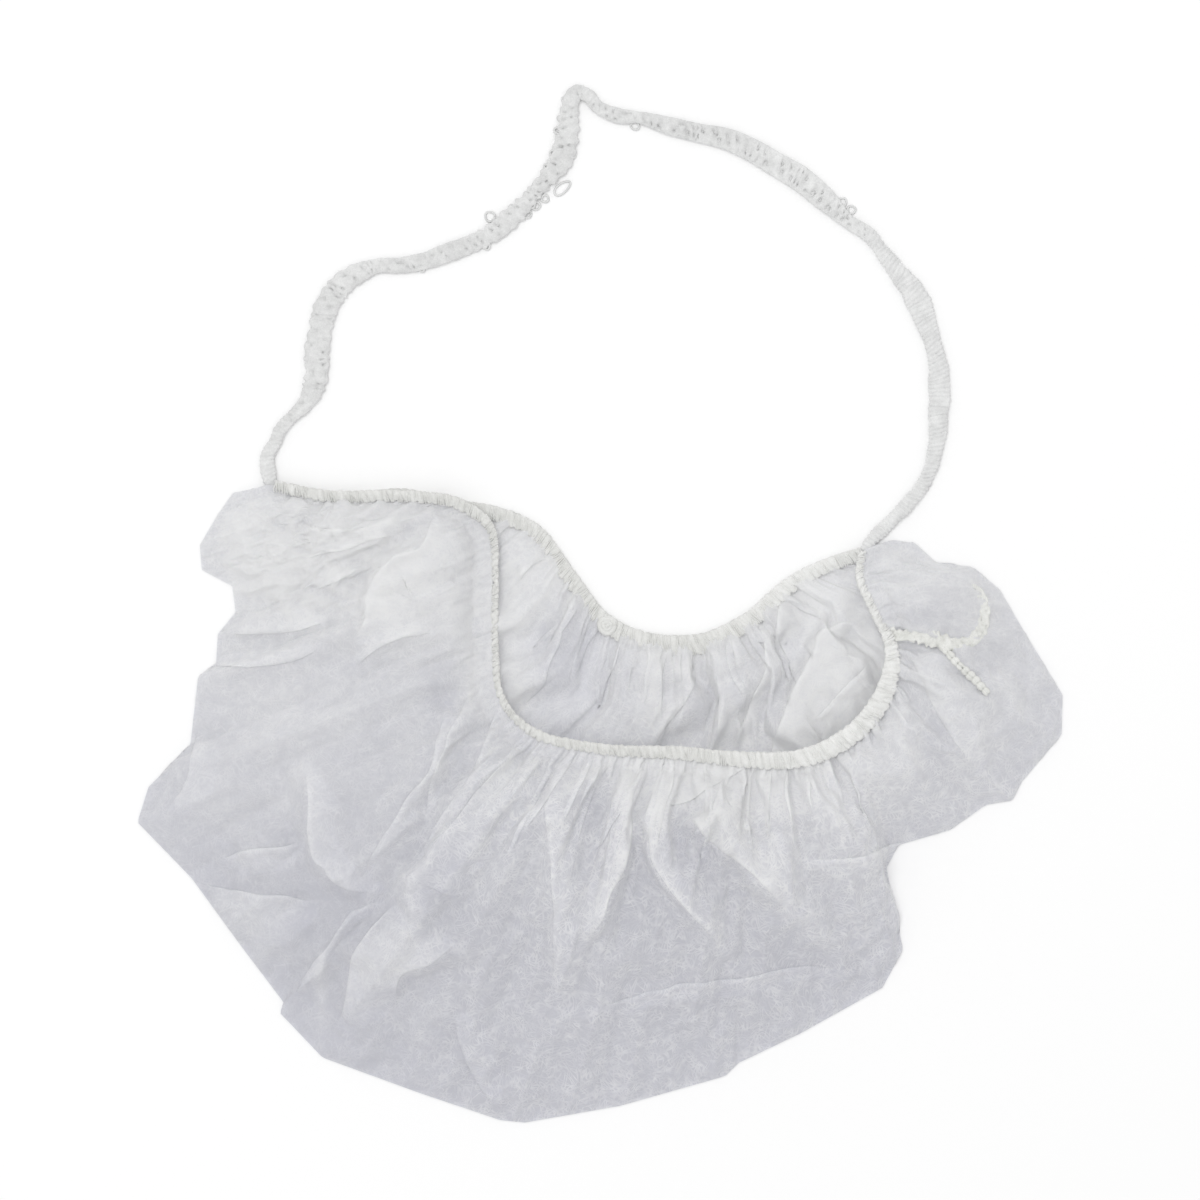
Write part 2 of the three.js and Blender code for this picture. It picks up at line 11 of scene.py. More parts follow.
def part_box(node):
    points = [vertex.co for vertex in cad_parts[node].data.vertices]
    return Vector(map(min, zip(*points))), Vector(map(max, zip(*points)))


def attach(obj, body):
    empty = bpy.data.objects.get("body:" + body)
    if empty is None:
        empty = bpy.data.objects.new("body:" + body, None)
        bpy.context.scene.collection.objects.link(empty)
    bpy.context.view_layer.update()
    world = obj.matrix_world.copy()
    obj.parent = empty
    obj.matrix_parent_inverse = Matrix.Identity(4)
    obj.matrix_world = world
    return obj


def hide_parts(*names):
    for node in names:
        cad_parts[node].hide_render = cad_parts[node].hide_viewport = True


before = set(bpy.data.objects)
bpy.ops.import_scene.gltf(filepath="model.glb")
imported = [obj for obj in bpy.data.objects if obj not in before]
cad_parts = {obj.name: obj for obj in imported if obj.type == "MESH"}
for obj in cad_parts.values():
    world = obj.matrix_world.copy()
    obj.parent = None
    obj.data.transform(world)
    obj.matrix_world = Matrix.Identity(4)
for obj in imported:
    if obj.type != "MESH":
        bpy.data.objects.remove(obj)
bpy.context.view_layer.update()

MM = 0.001
UP = np.array([0.0, 0.0, 1.0])


# ---- Tables (millimetres) --------------------------------------------------------------------------
# `at` runs from 0 at the left end of the mouth to 1 at its right end. A line of cloth joins the points
# of the mouth and of the outer fold that have the same `at`.


def table(names, rows):
    return dict(zip(names.split(), np.array(rows, dtype=float).T))


FRONT_EDGE = table("at x y z", [
    (0.00, -91.0, 32.5, 3.0),
    (0.06, -76.0, 29.6, 3.4),
    (0.12, -56.0, 29.6, 4.0),
    (0.18, -40.0, 27.6, 4.6),
    (0.23, -31.2, 21.0, 4.0),
    (0.27, -30.0, 8.0, 3.8),
    (0.32, -30.0, -11.0, 4.6),
    (0.37, -28.0, -27.0, 6.4),
    (0.42, -19.0, -36.4, 9.2),
    (0.49, 0.0, -40.8, 13.0),
    (0.57, 22.0, -41.6, 14.6),
    (0.64, 42.0, -43.2, 13.4),
    (0.70, 57.0, -42.2, 9.4),
    (0.76, 70.0, -35.5, 7.4),
    (0.81, 78.5, -24.5, 6.4),
    (0.86, 81.0, -13.0, 5.8),
    (0.91, 76.2, -1.0, 5.6),
    (0.95, 73.0, 7.0, 4.6),
    (1.00, 73.8, 14.2, 3.4),
])

BACK_EDGE = table("at x y z", [
    (0.00, -91.0, 31.4, 1.0),
    (0.06, -84.0, 29.6, 1.0),
    (0.12, -71.0, 28.6, 1.0),
    (0.18, -55.5, 30.2, 1.0),
    (0.23, -43.0, 27.4, 1.0),
    (0.28, -29.5, 25.2, 1.0),
    (0.33, -18.0, 20.2, 1.0),
    (0.40, -8.0, 7.2, 1.0),
    (0.47, 1.0, -4.2, 1.0),
    (0.53, 11.3, -9.6, 1.0),
    (0.62, 28.0, -10.4, 1.0),
    (0.72, 41.4, -4.4, 1.0),
    (0.82, 53.0, 5.4, 1.0),
    (0.93, 64.5, 11.0, 1.0),
    (1.00, 73.8, 14.0, 1.0),
])

OUTER_FOLD = table("at x y", [
    (0.000, -103.0, 30.2),
    (0.050, -107.0, 24.5),
    (0.100, -112.0, 16.0),
    (0.140, -111.5, 9.0),
    (0.180, -103.0, 4.5),
    (0.210, -102.0, -2.8),
    (0.235, -107.0, -9.0),
    (0.260, -107.5, -17.5),
    (0.275, -112.5, -20.8),
    (0.305, -114.7, -40.0),
    (0.330, -126.4, -51.8),
    (0.345, -129.5, -61.6),
    (0.370, -114.3, -77.3),
    (0.395, -100.7, -96.0),
    (0.420, -88.6, -112.0),
    (0.425, -89.6, -115.0),
    (0.445, -77.7, -127.5),
    (0.485, -50.3, -137.5),
    (0.520, -28.0, -145.0),
    (0.535, -21.0, -145.7),
    (0.580, 5.7, -141.0),
    (0.630, 35.0, -132.7),
    (0.640, 38.8, -129.0),
    (0.670, 56.0, -120.8),
    (0.710, 79.0, -108.0),
    (0.730, 84.8, -97.4),
    (0.755, 80.2, -74.5),
    (0.770, 83.6, -68.0),
    (0.790, 98.0, -63.8),
    (0.810, 108.0, -56.8),
    (0.820, 115.5, -55.5),
    (0.830, 118.0, -50.4),
    (0.850, 129.2, -37.2),
    (0.870, 129.5, -26.0),
    (0.900, 117.7, -6.5),
    (0.930, 112.0, 3.4),
    (0.950, 105.0, 9.4),
    (0.970, 94.0, 11.2),
    (0.985, 88.3, 16.4),
    (1.000, 83.4, 17.2),
])

# How high the front sheet billows over the line from its edge to the outer fold.
BILLOW = table("at height", [
    (0.00, 0.0),
    (0.08, 2.5),
    (0.20, 6.0),
    (0.30, 9.0),
    (0.42, 11.5),
    (0.55, 13.0),
    (0.68, 10.5),
    (0.80, 7.0),
    (0.92, 4.0),
    (1.00, 0.0),
])

STRAP_ROUTE = table("x y width", [
    (-91.4, 30.6, 4.4),
    (-92.6, 35.4, 4.8),
    (-93.0, 40.5, 4.4),
    (-91.0, 44.6, 3.8),
    (-89.2, 48.4, 3.8),
    (-86.2, 51.8, 3.6),
    (-82.8, 55.0, 4.6),
    (-80.2, 59.6, 6.4),
    (-79.2, 65.0, 7.0),
    (-79.2, 70.5, 7.4),
    (-78.2, 76.0, 6.6),
    (-77.0, 81.6, 7.2),
    (-74.4, 86.4, 7.0),
    (-71.3, 89.7, 6.6),
    (-67.6, 92.0, 6.0),
    (-62.2, 94.0, 4.4),
    (-55.8, 94.2, 4.8),
    (-49.2, 95.4, 5.2),
    (-43.0, 97.6, 5.8),
    (-36.6, 100.0, 5.4),
    (-30.5, 102.9, 5.4),
    (-24.8, 107.6, 6.2),
    (-20.0, 112.6, 4.6),
    (-15.9, 117.4, 4.6),
    (-11.9, 121.9, 6.6),
    (-9.9, 126.8, 6.8),
    (-8.9, 132.0, 6.0),
    (-8.7, 136.0, 5.6),
    (-8.1, 139.8, 5.2),
    (-6.4, 142.8, 4.4),
    (-3.4, 141.6, 4.2),
    (-0.4, 138.4, 4.0),
    (5.2, 136.0, 4.8),
    (10.8, 135.6, 3.6),
    (19.4, 133.2, 5.6),
    (27.7, 131.2, 5.8),
    (35.2, 129.6, 6.6),
    (42.0, 126.7, 7.0),
    (48.9, 122.7, 7.2),
    (55.8, 118.6, 7.6),
    (62.8, 112.8, 7.0),
    (69.0, 106.8, 4.4),
    (74.8, 103.0, 4.4),
    (78.9, 98.0, 4.2),
    (82.7, 93.0, 5.6),
    (86.6, 88.2, 6.2),
    (89.2, 83.6, 7.4),
    (90.8, 78.7, 6.4),
    (92.7, 73.4, 5.2),
    (94.3, 67.9, 5.2),
    (94.9, 62.3, 6.0),
    (94.9, 56.6, 6.2),
    (94.5, 51.0, 5.8),
    (94.4, 45.3, 4.6),
    (93.0, 39.2, 4.2),
    (90.6, 33.0, 3.8),
    (86.4, 27.8, 4.0),
    (82.0, 23.2, 4.2),
    (77.4, 18.8, 4.4),
    (74.9, 16.2, 4.4),
    (73.2, 14.6, 4.2),
])

CURL_ROUTE = table("x y width", [
    (79.6, -7.4, 2.6),
    (83.8, -9.4, 3.6),
    (88.0, -8.8, 5.4),
    (91.4, -9.6, 5.8),
    (94.6, -11.0, 4.8),
    (98.6, -11.8, 3.8),
    (103.2, -11.0, 3.8),
    (106.4, -7.6, 3.8),
    (107.4, -2.4, 3.4),
    (106.0, 2.4, 3.0),
    (102.4, 5.4, 2.6),
])
CURL_THICKNESS = 1.7 * MM
CURL_LIFT = 0.1 * CURL_THICKNESS  # of its middle, above the cloth that it lies on
# The curl comes out of the sewn edge over the first share of its length, from so many thicknesses
# below. Further on it sinks again, and at last it runs in under the cloth.
CURL_START = 0.08, 0.6
CURL_SINKS = (  # from a first share of its length to a last, by so many thicknesses
    (0.35, 0.6, 0.36),
    (0.80, 1, 0.3),
)
CURL_LOOK = table("share lumpy scalloped", [
    (0.00, 0.8, 0.6),
    (0.08, 1.2, 1.0),
    (0.35, 1.2, 1.0),
    (0.45, 0.9, 0.6),
    (1.00, 0.9, 0.4),
])

TAIL_ROUTE = table("x y width", [
    (95.6, -12.6, 1.8),
    (98.0, -15.6, 1.8),
    (101.0, -18.6, 1.9),
    (104.2, -21.6, 1.8),
    (108.0, -25.6, 1.6),
])


# The folds of the two sheets. Each follows a line of points. The doubled cloth lies on the left of the
# line for `reach` millimetres, or on the right where reach is negative; the other side is the fold's
# sharp edge. A ridge runs out softly to `reach` on both sides. `white` is how much denser the cloth
# looks, and `height` how far it stands up.
class Fold:
    def __init__(self, points, reach, white, height, both=False):
        self.points = np.array(points, float) * MM
        self.reach = reach * MM
        self.white = white
        self.height = height * MM
        self.both = both


def ridge(points, reach, white, height):
    return Fold(points, reach, white, height, both=True)


FRONT_FOLDS = {
    "edge of the doubled left panel": Fold(
        [(-46, 26), (-50, 15), (-58, 12), (-63, 7), (-65, 1), (-66, -6), (-69, -11)], 17, 0.34, 2.6
    ),
    "pinched band beside the left end": ridge(
        [(-96, 30), (-100, 22), (-98, 14), (-93, 8), (-88, 3), (-86, -5)], 5, 0.30, 1.6
    ),
    "lower edge of that band": Fold([(-104, -9), (-87, -8), (-76, -6)], 6, 0.16, 1.2),
    "upper step of the left side": Fold([(-109, -18), (-98, -18), (-85, -16), (-77, -12)], 4, 0.14, 1.4),
    "crumpled fold under the edge": Fold([(-84, 22), (-74, 20), (-64, 21), (-54, 25)], -5, 0.20, 1.8),
    "crumpled fold below it": Fold([(-82, 12), (-74, 14), (-64, 17), (-56, 19)], 4, 0.20, 1.8),
    "lowest crumpled fold": Fold([(-80, 3), (-72, 6), (-66, 10)], 4, 0.18, 1.6),
    "crease under the left panel": Fold([(-69, -18), (-60, -12), (-52, -9), (-46, -9)], 4, 0.14, 1.4),
    "bright strip beside the mouth": ridge(
        [(-42, 4), (-39, -3), (-37, -10), (-36, -17), (-36, -25), (-33, -33)], 4, 0.26, 1.6
    ),
    "first long pleat": Fold(
        [(-43, -27), (-45, -38), (-47, -46), (-55, -57), (-62, -69), (-66, -77)], 4.5, 0.18, 2.2
    ),
    "second long pleat": Fold([(-36, -24), (-41, -35), (-44, -43), (-47, -52), (-49, -63)], 3, 0.14, 1.6),
    "third long pleat": Fold(
        [(-28, -29), (-31, -37), (-35, -46), (-41, -55), (-48, -66), (-53, -74)], 3, 0.16, 1.8
    ),
    "fourth and broadest pleat": Fold(
        [(-22, -37), (-27, -45), (-34, -52), (-39, -59), (-48, -70), (-53, -77), (-53, -85)],
        15, 0.16, 2.4,
    ),
    "left arm of the long crease": ridge(
        [(-81, -41), (-84, -48), (-88, -55), (-95, -67), (-100, -71)], 4, 0.14, -2.0
    ),
    "right arm of the long crease": Fold(
        [(-82, -45), (-81, -55), (-81, -64), (-79, -72), (-76, -75), (-70, -80), (-60, -81)], 8, 0.26, 3.0
    ),
    "band from the left corner": Fold([(-106, -72), (-98, -69), (-90, -68), (-82, -67)], -7, 0.22, 2.0),
    "lower left panel": Fold([(-111, -79), (-101, -81), (-90, -82), (-78, -83)], -15, 0.24, 2.2),
    "edge of the left corner": Fold([(-113, -36), (-115, -50), (-121, -58)], 8, 0.12, 1.2),
    "tuck down to the lower left": Fold(
        [(-60, -82), (-67, -85), (-71, -89), (-76, -96), (-81, -103), (-87, -111)], 3, 0.22, 2.4
    ),
    "panel beside that tuck": Fold(
        [(-57, -83), (-63, -90), (-69, -100), (-71, -111), (-74, -119)], 13, 0.26, 2.8
    ),
    "small fold at the lower left": ridge(
        [(-77, -97), (-78, -108), (-78, -118), (-80, -124)], 3, 0.24, 1.4
    ),
    "short hook": ridge([(-56, -72), (-53, -80), (-52, -89), (-56, -94)], 3, 0.18, 1.8),
    "lower edge of the broad pleat": Fold(
        [(-40, -95), (-48, -101), (-55, -104), (-57, -111)], -12, 0.2, 2.0
    ),
    "streak near the bottom": ridge(
        [(-39, -111), (-45, -113), (-49, -119), (-50, -127)], 3, 0.16, 1.4
    ),
    "edge of the dark corner": Fold([(-41, -114), (-38, -125), (-34, -135), (-29, -141)], 8, 0.12, 1.2),
    "upright pleat left of the middle": Fold(
        [(-16, -53), (-15, -60), (-14, -69), (-13, -83), (-13, -95), (-13, -110)], 6, 0.22, 2.4
    ),
    "arc over it": ridge([(1, -46), (-8, -51), (-14, -57)], 3, 0.16, 1.4),
    "pleat under the middle": Fold(
        [(12, -44), (10, -50), (9, -57), (9, -63), (7, -72), (3, -80), (0, -88), (-6, -98)],
        -6, 0.34, 3.4,
    ),
    "long pleat to the right": Fold(
        [
            (18, -48), (16, -54), (14, -58), (13, -65), (15, -72),
            (19, -79), (25, -86), (31, -93), (35, -102),
        ],
        5, 0.32, 3.4,
    ),
    "pleat that lies over under the mouth": Fold(
        [(41, -45), (37, -48), (30, -51), (25, -55), (17, -57)], -8, 0.34, 2.8
    ),
    "edge of the dense right part": Fold(
        [
            (40, -53), (33, -56), (28, -58), (25, -60), (28, -63),
            (32, -67), (41, -74), (48, -81), (53, -88),
        ],
        14, 0.30, 3.2,
    ),
    "thin ridge on the right": ridge([(45, -72), (49, -81), (56, -89), (65, -97)], 2.5, 0.16, 1.8),
    "thin ridge beside it": ridge([(56, -79), (59, -87), (64, -94), (71, -92)], 2.5, 0.14, 1.6),
    "hem near the bottom": Fold(
        [(-2, -112), (11, -109), (22, -106), (36, -105), (56, -102), (71, -102)], -5, 0.14, 1.2
    ),
    "rise by the lower right": ridge([(30, -126), (38, -119), (43, -108)], 6, 0.12, 1.4),
    "lower edge of the lobe": Fold([(86, -67), (74, -70), (56, -71)], 4, 0.12, 1.4),
    "pleat down from the right corner": Fold(
        [(86, -14), (88, -19), (91, -25), (95, -32), (99, -39), (105, -49)], 8, 0.17, 1.8
    ),
    "short pleat beside it": ridge([(80, -29), (84, -38), (87, -50)], 5, 0.16, 1.8),
    "pleat across the lobe": ridge([(62, -50), (64, -58), (70, -66)], 4, 0.14, 1.8),
    "wrinkle on the lobe": ridge([(108, -18), (114, -26), (121, -33)], 3, 0.12, 1.2),
    "wrinkle over the curl": ridge([(90, 11), (100, 8), (107, 4)], 4, 0.18, 1.4),
}

BACK_FOLDS = {
    "ridge in the left of the mouth": ridge([(-27, 3), (-22, 9), (-17, 13)], 3.5, 0.18, 1.4),
    "soft ridge beside it": ridge([(-13, 12), (-15, 3), (-17, -8)], 5, 0.14, 1.3),
    "long slanting edge": Fold([(-6, 4), (-9, -3), (-12, -13), (-16, -23), (-23, -31)], -6, 0.16, 1.8),
    "middle pleat": Fold([(18, -12), (17, -18), (16, -26), (15, -38)], -10, 0.20, 2.2),
    "bent pleat": Fold([(24, -13), (27, -21), (24, -28), (18, -35), (14, -42)], -6, 0.22, 2.4),
    "right pleat": Fold([(32, -13), (33, -20), (33, -28), (32, -42)], 8, 0.18, 2.2),
    "bright narrow pleat": Fold(
        [(44, -5), (46, -12), (46, -18), (43, -27), (39, -35), (36, -43)], 4, 0.32, 2.6
    ),
    "folded panel on the right": Fold(
        [(72, -5), (66, -6), (61, -9), (58, -17), (53, -27), (49, -38), (46, -50), (44, -62)],
        22, 0.40, 4.2,
    ),
    "pleat under the right of the edge": Fold([(52, 4), (50, -4), (49, -12)], 8, 0.26, 1.8),
    "crease on the panel": Fold([(76, -17), (68, -24), (58, -36)], 5, 0.12, 1.2),
}

# Where each sheet is denser or thinner than elsewhere, as soft ovals. Three ovals of the back sheet,
# beside the inner side of the mouth's right rim, also hold painted light that lightens the cloth where
# the rim's shade falls.
FRONT_ZONES = table("x y reach_x reach_y white", [
    (-47, 2, 14, 20, 0.34),
    (-78, 14, 26, 14, 0.20),
    (-81, 23, 3, 1.5, -0.35),
    (-75, 15, 4, 1.5, -0.35),
    (-54, 21, 3, 1.5, -0.30),
    (-46, 23, 2.5, 2, -0.30),
    (-42, 27, 3, 1.5, -0.30),
    (-68, 12, 2.5, 1.2, -0.25),
    (-100, 12, 7, 16, 0.20),
    (-62, 24, 24, 5, 0.16),
    (-85, -30, 26, 16, 0.16),
    (-104, -56, 14, 12, 0.14),
    (30, -52, 26, 9, 0.42),
    (52, -50, 20, 8, 0.20),
    (70, -48, 14, 14, 0.22),
    (100, -30, 20, 20, 0.14),
    (84, 6, 9, 9, 0.28),
    (90, 12, 14, 6, 0.16),
    (-44, -26, 6, 13, -0.26),
    (-74, -88, 12, 6, -0.26),
    (-90, -64, 6, 5, -0.12),
    (-32, -68, 9, 14, 0.06),
    (-67, -84, 10, 6, -0.08),
    (-42, -72, 8, 9, -0.18),
    (-58, -98, 16, 12, 0.06),
    (42, -54, 14, 8, 0.26),
    (108, 0, 7, 7, 0.25),
    (-92, 8, 12, 24, 0.12),
    (98, -4, 12, 9, 0.12),
    (-95, -92, 8, 10, 0.10),
    (68, -76, 14, 10, 0.14),
    (0, -58, 6, 8, -0.24),
    (25, -66, 6, 8, -0.30),
    (13, -84, 5, 10, -0.20),
    (54, -97, 9, 6, -0.18),
    (-46, -128, 9, 9, -0.18),
    (27, -118, 10, 8, -0.32),
    (25, -84, 6, 8, -0.12),
    (94, -39, 4, 9, -0.20),
    (90, -4, 9, 4, -0.22),
    (-53, 18, 4, 3, -0.20),
    (-72, 2, 6, 2, -0.18),
])

BACK_ZONES = table("x y reach_x reach_y white", [
    (60, 2, 14, 8, 0.34),
    (10, -14, 14, 5, 0.12),
    (-12, 8, 8, 8, 0.12),
    (-9, -14, 11, 18, -0.42),
    (8, -14, 8, 8, -0.14),
    (28, -32, 4, 8, -0.22),
    (48, -30, 4, 9, -0.20),
    # denser cloth, and painted light: lightens the back sheet beside the inner side of the mouth's right
    # rim, where the rim's shade falls
    (74, -14, 6, 10, 0.30),
    (-26, -4, 6, 18, 0.35),
    (-24, -28, 6, 8, 0.35),
    # the next two rows likewise: denser cloth, and painted light in the shade of the mouth's right rim
    (70, -29, 10, 10, 0.40),
    (78, -18, 7, 14, 0.35),
    (34, -38, 18, 6, 0.25),
    (58, -36, 8, 5, 0.25),
])

CRUMPLED = (-78, 12, 28, 20)  # the middle and the reach of the crumpled part, in x and y
KNOT_PLACE = (2.0, -6.6, 1.5)  # of the round knot where the stitches of the mouth start and stop

# How many times longer the front sheet is than the edge of the mouth that it is sewn to.
RIM_SPARE = table("at times", [
    (0.00, 1.12),
    (0.20, 1.16),
    (0.25, 1.08),
    (0.36, 1.12),
    (0.42, 1.33),
    (0.80, 1.37),
    (0.88, 1.20),
    (1.00, 1.12),
])

# How wide the sewn edge is.
EDGE_WIDTHS = table("at front back", [
    (0.00, 3.4, 3.8),
    (0.20, 3.4, 4.0),
    (0.26, 1.9, 4.2),
    (0.36, 2.0, 4.4),
    (0.44, 2.8, 4.4),
    (0.52, 3.4, 5.6),
    (0.62, 4.4, 6.0),
    (0.72, 5.6, 5.0),
    (0.80, 5.8, 4.8),
    (0.85, 4.4, 4.4),
    (0.89, 2.4, 4.2),
    (1.00, 2.2, 4.0),
])

# Small loops of thread that stand out of the head loop, and which way the long ones lie.
LOOSE_LOOPS = table("x y reach_x reach_y degrees", [
    (-30.8, 107.9, 1.35, 1.35, 0),
    (-10.6, 115.8, 2.7, 1.3, 40),
    (-20.4, 108.6, 1.2, 1.1, 0),
    (-17.9, 110.9, 1.1, 1.1, 0),
    (-15.4, 112.9, 1.0, 1.0, 0),
    (9.8, 133.2, 1.2, 1.0, -20),
    (67.8, 112.0, 1.2, 1.1, 0),
    (70.4, 109.8, 1.1, 1.1, 0),
])

# How lumpy the head loop is, and how far its sides are scalloped, along it.
LOOP_LOOK = table("share lumpy scalloped", [
    (0.00, 0.3, 0.0),
    (0.07, 0.4, 0.1),
    (0.10, 1.0, 0.8),
    (0.19, 1.0, 0.6),
    (0.22, 0.7, 0.1),
    (0.28, 0.8, 0.2),
    (0.31, 1.0, 0.9),
    (0.42, 1.0, 0.9),
    (0.45, 0.5, 0.1),
    (0.50, 0.9, 0.0),
    (0.54, 1.5, 0.0),
    (0.69, 1.5, 0.1),
    (0.72, 0.2, 0.0),
    (0.76, 0.0, 0.0),
    (1.00, 0.0, 0.0),
])

# The model's source centres itself, so its tables are moved by this much.
table_low = np.array([OUTER_FOLD["x"].min(), OUTER_FOLD["y"].min(), 0.0]) * MM
CENTRING = (np.array(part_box("pouch")[0]) - table_low) * (1, 1, 0)


# ---- Curves and noise ------------------------------------------------------------------------------


def smooth_step(low, high, value):
    share = np.clip((value - low) / (high - low), 0, 1)
    return share * share * (3 - 2 * share)


def smooth_curve(points, place):
    """A centripetal Catmull-Rom curve through points, at places counted in points from the first."""
    points = np.asarray(points, float)
    place = np.clip(np.asarray(place, float), 0, len(points) - 1)
    index = np.minimum(place.astype(int), len(points) - 2)
    share = (place - index)[:, None]
    padded = np.vstack([2 * points[0] - points[1], points, 2 * points[-1] - points[-2]])
    p0, p1, p2, p3 = (padded[index + offset] for offset in range(4))
    gap01, gap12, gap23 = (
        np.sqrt(np.maximum(np.linalg.norm(b - a, axis=1), 1e-9))[:, None]
        for a, b in ((p0, p1), (p1, p2), (p2, p3))
    )
    start = ((p1 - p0) / gap01 - (p2 - p0) / (gap01 + gap12) + (p2 - p1) / gap12) * gap12
    end = ((p2 - p1) / gap12 - (p3 - p1) / (gap12 + gap23) + (p3 - p2) / gap23) * gap12
    curve = p1 + share * start
    curve = curve + share**2 * (3 * (p2 - p1) - 2 * start - end)
    return curve + share**3 * (2 * (p1 - p2) + start + end)


def edge_points(edge, at):
    """Points on an edge of the mouth at `at`."""
    knots = np.stack([edge["x"], edge["y"], edge["z"]], axis=1) * MM
    return smooth_curve(knots, np.interp(at, edge["at"], np.arange(len(knots)))) + CENTRING


def fold_points(at):
    x = np.interp(at, OUTER_FOLD["at"], OUTER_FOLD["x"])
    y = np.interp(at, OUTER_FOLD["at"], OUTER_FOLD["y"])
    return np.stack([x, y, np.zeros_like(x)], axis=-1) * MM + CENTRING


def noise(u, v, seed):
    """Smooth noise from -1 to 1, with one value for each whole number of u and v."""
    size = 256
    values = np.random.default_rng(seed).uniform(-1, 1, (size, size))
    i, j = np.floor(u).astype(int), np.floor(v).astype(int)
    fu, fv = u - i, v - j
    fu, fv = (t * t * t * (t * (6 * t - 15) + 10) for t in (fu, fv))
    corners = [values[(i + di) % size, (j + dj) % size] for di, dj in ((0, 0), (1, 0), (0, 1), (1, 1))]
    low = corners[0] + (corners[1] - corners[0]) * fu
    high = corners[2] + (corners[3] - corners[2]) * fu
    return low + (high - low) * fv


# ---- Folds -----------------------------------------------------------------------------------------

SHARP_WHITE = 0.7 * MM  # how soft the sharp side of a fold looks
SHARP_HEIGHT = 1.5 * MM  # and how steep it stands
SHARP_LINE = 0.5  # how much of a fold's whiteness its sharp side has
RIDGE_LINE = 0.4  # how much of a ridge's whiteness is added again along its very top
FOLD_BELL = 1.6  # how squarely a fold runs out to its soft side; 2 is a bell
FOLD_START = 0.16  # the share of its length over which a fold rises from nothing
FOLD_END = 0.75  # and the share from which on it runs out again
CURVE_SHARE = 3  # points of a fold's curve for each point of its table

CRUMPLE_SIZES = (  # the size of the small folds, their share of the height, and a seed
    (9 * MM, 0.45, 11),
    (4.5 * MM, 0.35, 12),
    (2.3 * MM, 0.20, 15),
)
CRUMPLE_BEND = 0.6  # how far, in folds, each set is bent out of its grid
CRUMPLE_NARROW = 1.25  # how much closer the folds lie up and down than from side to side
CRUMPLE_SHARP = 0.7  # the part of the noise, on each side of 0, that is a fold

# What a small pleat of the gathers is like: the least and the most of each.
GATHER_PLACE = (0.1, 0.9)  # in its own part of the edge
GATHER_SHARE = (0.35, 1)  # of the longest
GATHER_REACH = (1.4, 3.2)
GATHER_WHITE = (0.05, 0.15)
GATHER_HEIGHT = (0.3, 0.85)
GATHER_START = 0.02  # how far down the sheet they start
GATHER_POINTS = 5
GATHER_LEAN = 0.02  # how far their lines stray from those of the cloth
GATHER_BEND = 1.2


def line_distances(x, y, points):
    """How far x, y is from a line of points, on which side (1 left, -1 right), and where along it."""
    nearest = np.full(x.shape, np.inf)
    side = np.ones(x.shape)
    place = np.zeros(x.shape)
    lengths = np.linalg.norm(np.diff(points, axis=0), axis=1)
    starts = np.concatenate([[0], np.cumsum(lengths)])
    for index, length in enumerate(lengths):
        start = points[index]
        step = (points[index + 1] - start) / length
        dx, dy = x - start[0], y - start[1]
        along = np.clip(dx * step[0] + dy * step[1], 0, length)
        distance = np.hypot(dx - along * step[0], dy - along * step[1])
        nearer = distance < nearest
        nearest = np.where(nearer, distance, nearest)
        side = np.where(nearer, np.sign(step[0] * dy - step[1] * dx), side)
        place = np.where(nearer, (starts[index] + along) / starts[-1], place)
    return nearest, side, place


def fold_field(x, y, folds):
    """How much denser and how much higher the folds make the cloth at x, y."""
    white, height = np.zeros(x.shape), np.zeros(x.shape)
    for fold in folds.values():
        knots = len(fold.points)
        places = np.linspace(0, knots - 1, CURVE_SHARE * (knots - 1) + 1)
        points = smooth_curve(fold.points, places) + CENTRING[:2]
        distance, side, place = line_distances(x, y, points)
        ends = smooth_step(0, FOLD_START, place) * (1 - smooth_step(FOLD_END, 1, place))
        soft = np.exp(-((distance / abs(fold.reach)) ** FOLD_BELL))
        over = np.full(x.shape, True) if fold.both else side * fold.reach > 0
        line = np.exp(-((distance / SHARP_WHITE) ** 2))
        if fold.both:
            look = soft + RIDGE_LINE * line
        else:
            near = soft * smooth_step(-SHARP_WHITE, SHARP_WHITE, distance)
            look = np.where(over, near, SHARP_LINE * line)
        rise = np.where(over, soft, np.exp(-((distance / SHARP_HEIGHT) ** 2)))
        white += fold.white * ends * look
        height += fold.height * ends * rise
    return white, height


def zone_field(x, y, zones):
    """How much whiter the cloth is at x, y, from a table of soft ovals of denser or thinner cloth, some
    of which also hold painted light for cloth in shade.
    """
    white = np.zeros(x.shape)
    for zone_x, zone_y, reach_x, reach_y, amount in zip(*zones.values()):
        u = (x - zone_x * MM - CENTRING[0]) / (reach_x * MM)
        v = (y - zone_y * MM - CENTRING[1]) / (reach_y * MM)
        white += amount * np.exp(-(u * u + v * v))
    return white


def crumples(x, y):
    """How far up, from 0 to 1, the cloth stands in the sharp small folds of its crumpled part."""
    u, v = x - CENTRING[0], y - CENTRING[1]
    field = 0
    for size, share, seed in CRUMPLE_SIZES:
        bent = u / size + CRUMPLE_BEND * noise(u / size, v / size, seed)
        folds = noise(bent, CRUMPLE_NARROW * v / size, seed + 2)
        field += share * (1 - np.abs(folds) / CRUMPLE_SHARP)
    near_x, near_y, reach_x, reach_y = (value * MM for value in CRUMPLED)
    inside = ((u - near_x) / reach_x) ** 2 + ((v - near_y) / reach_y) ** 2
    return np.clip(field, 0, 1) * np.exp(-(inside**2))


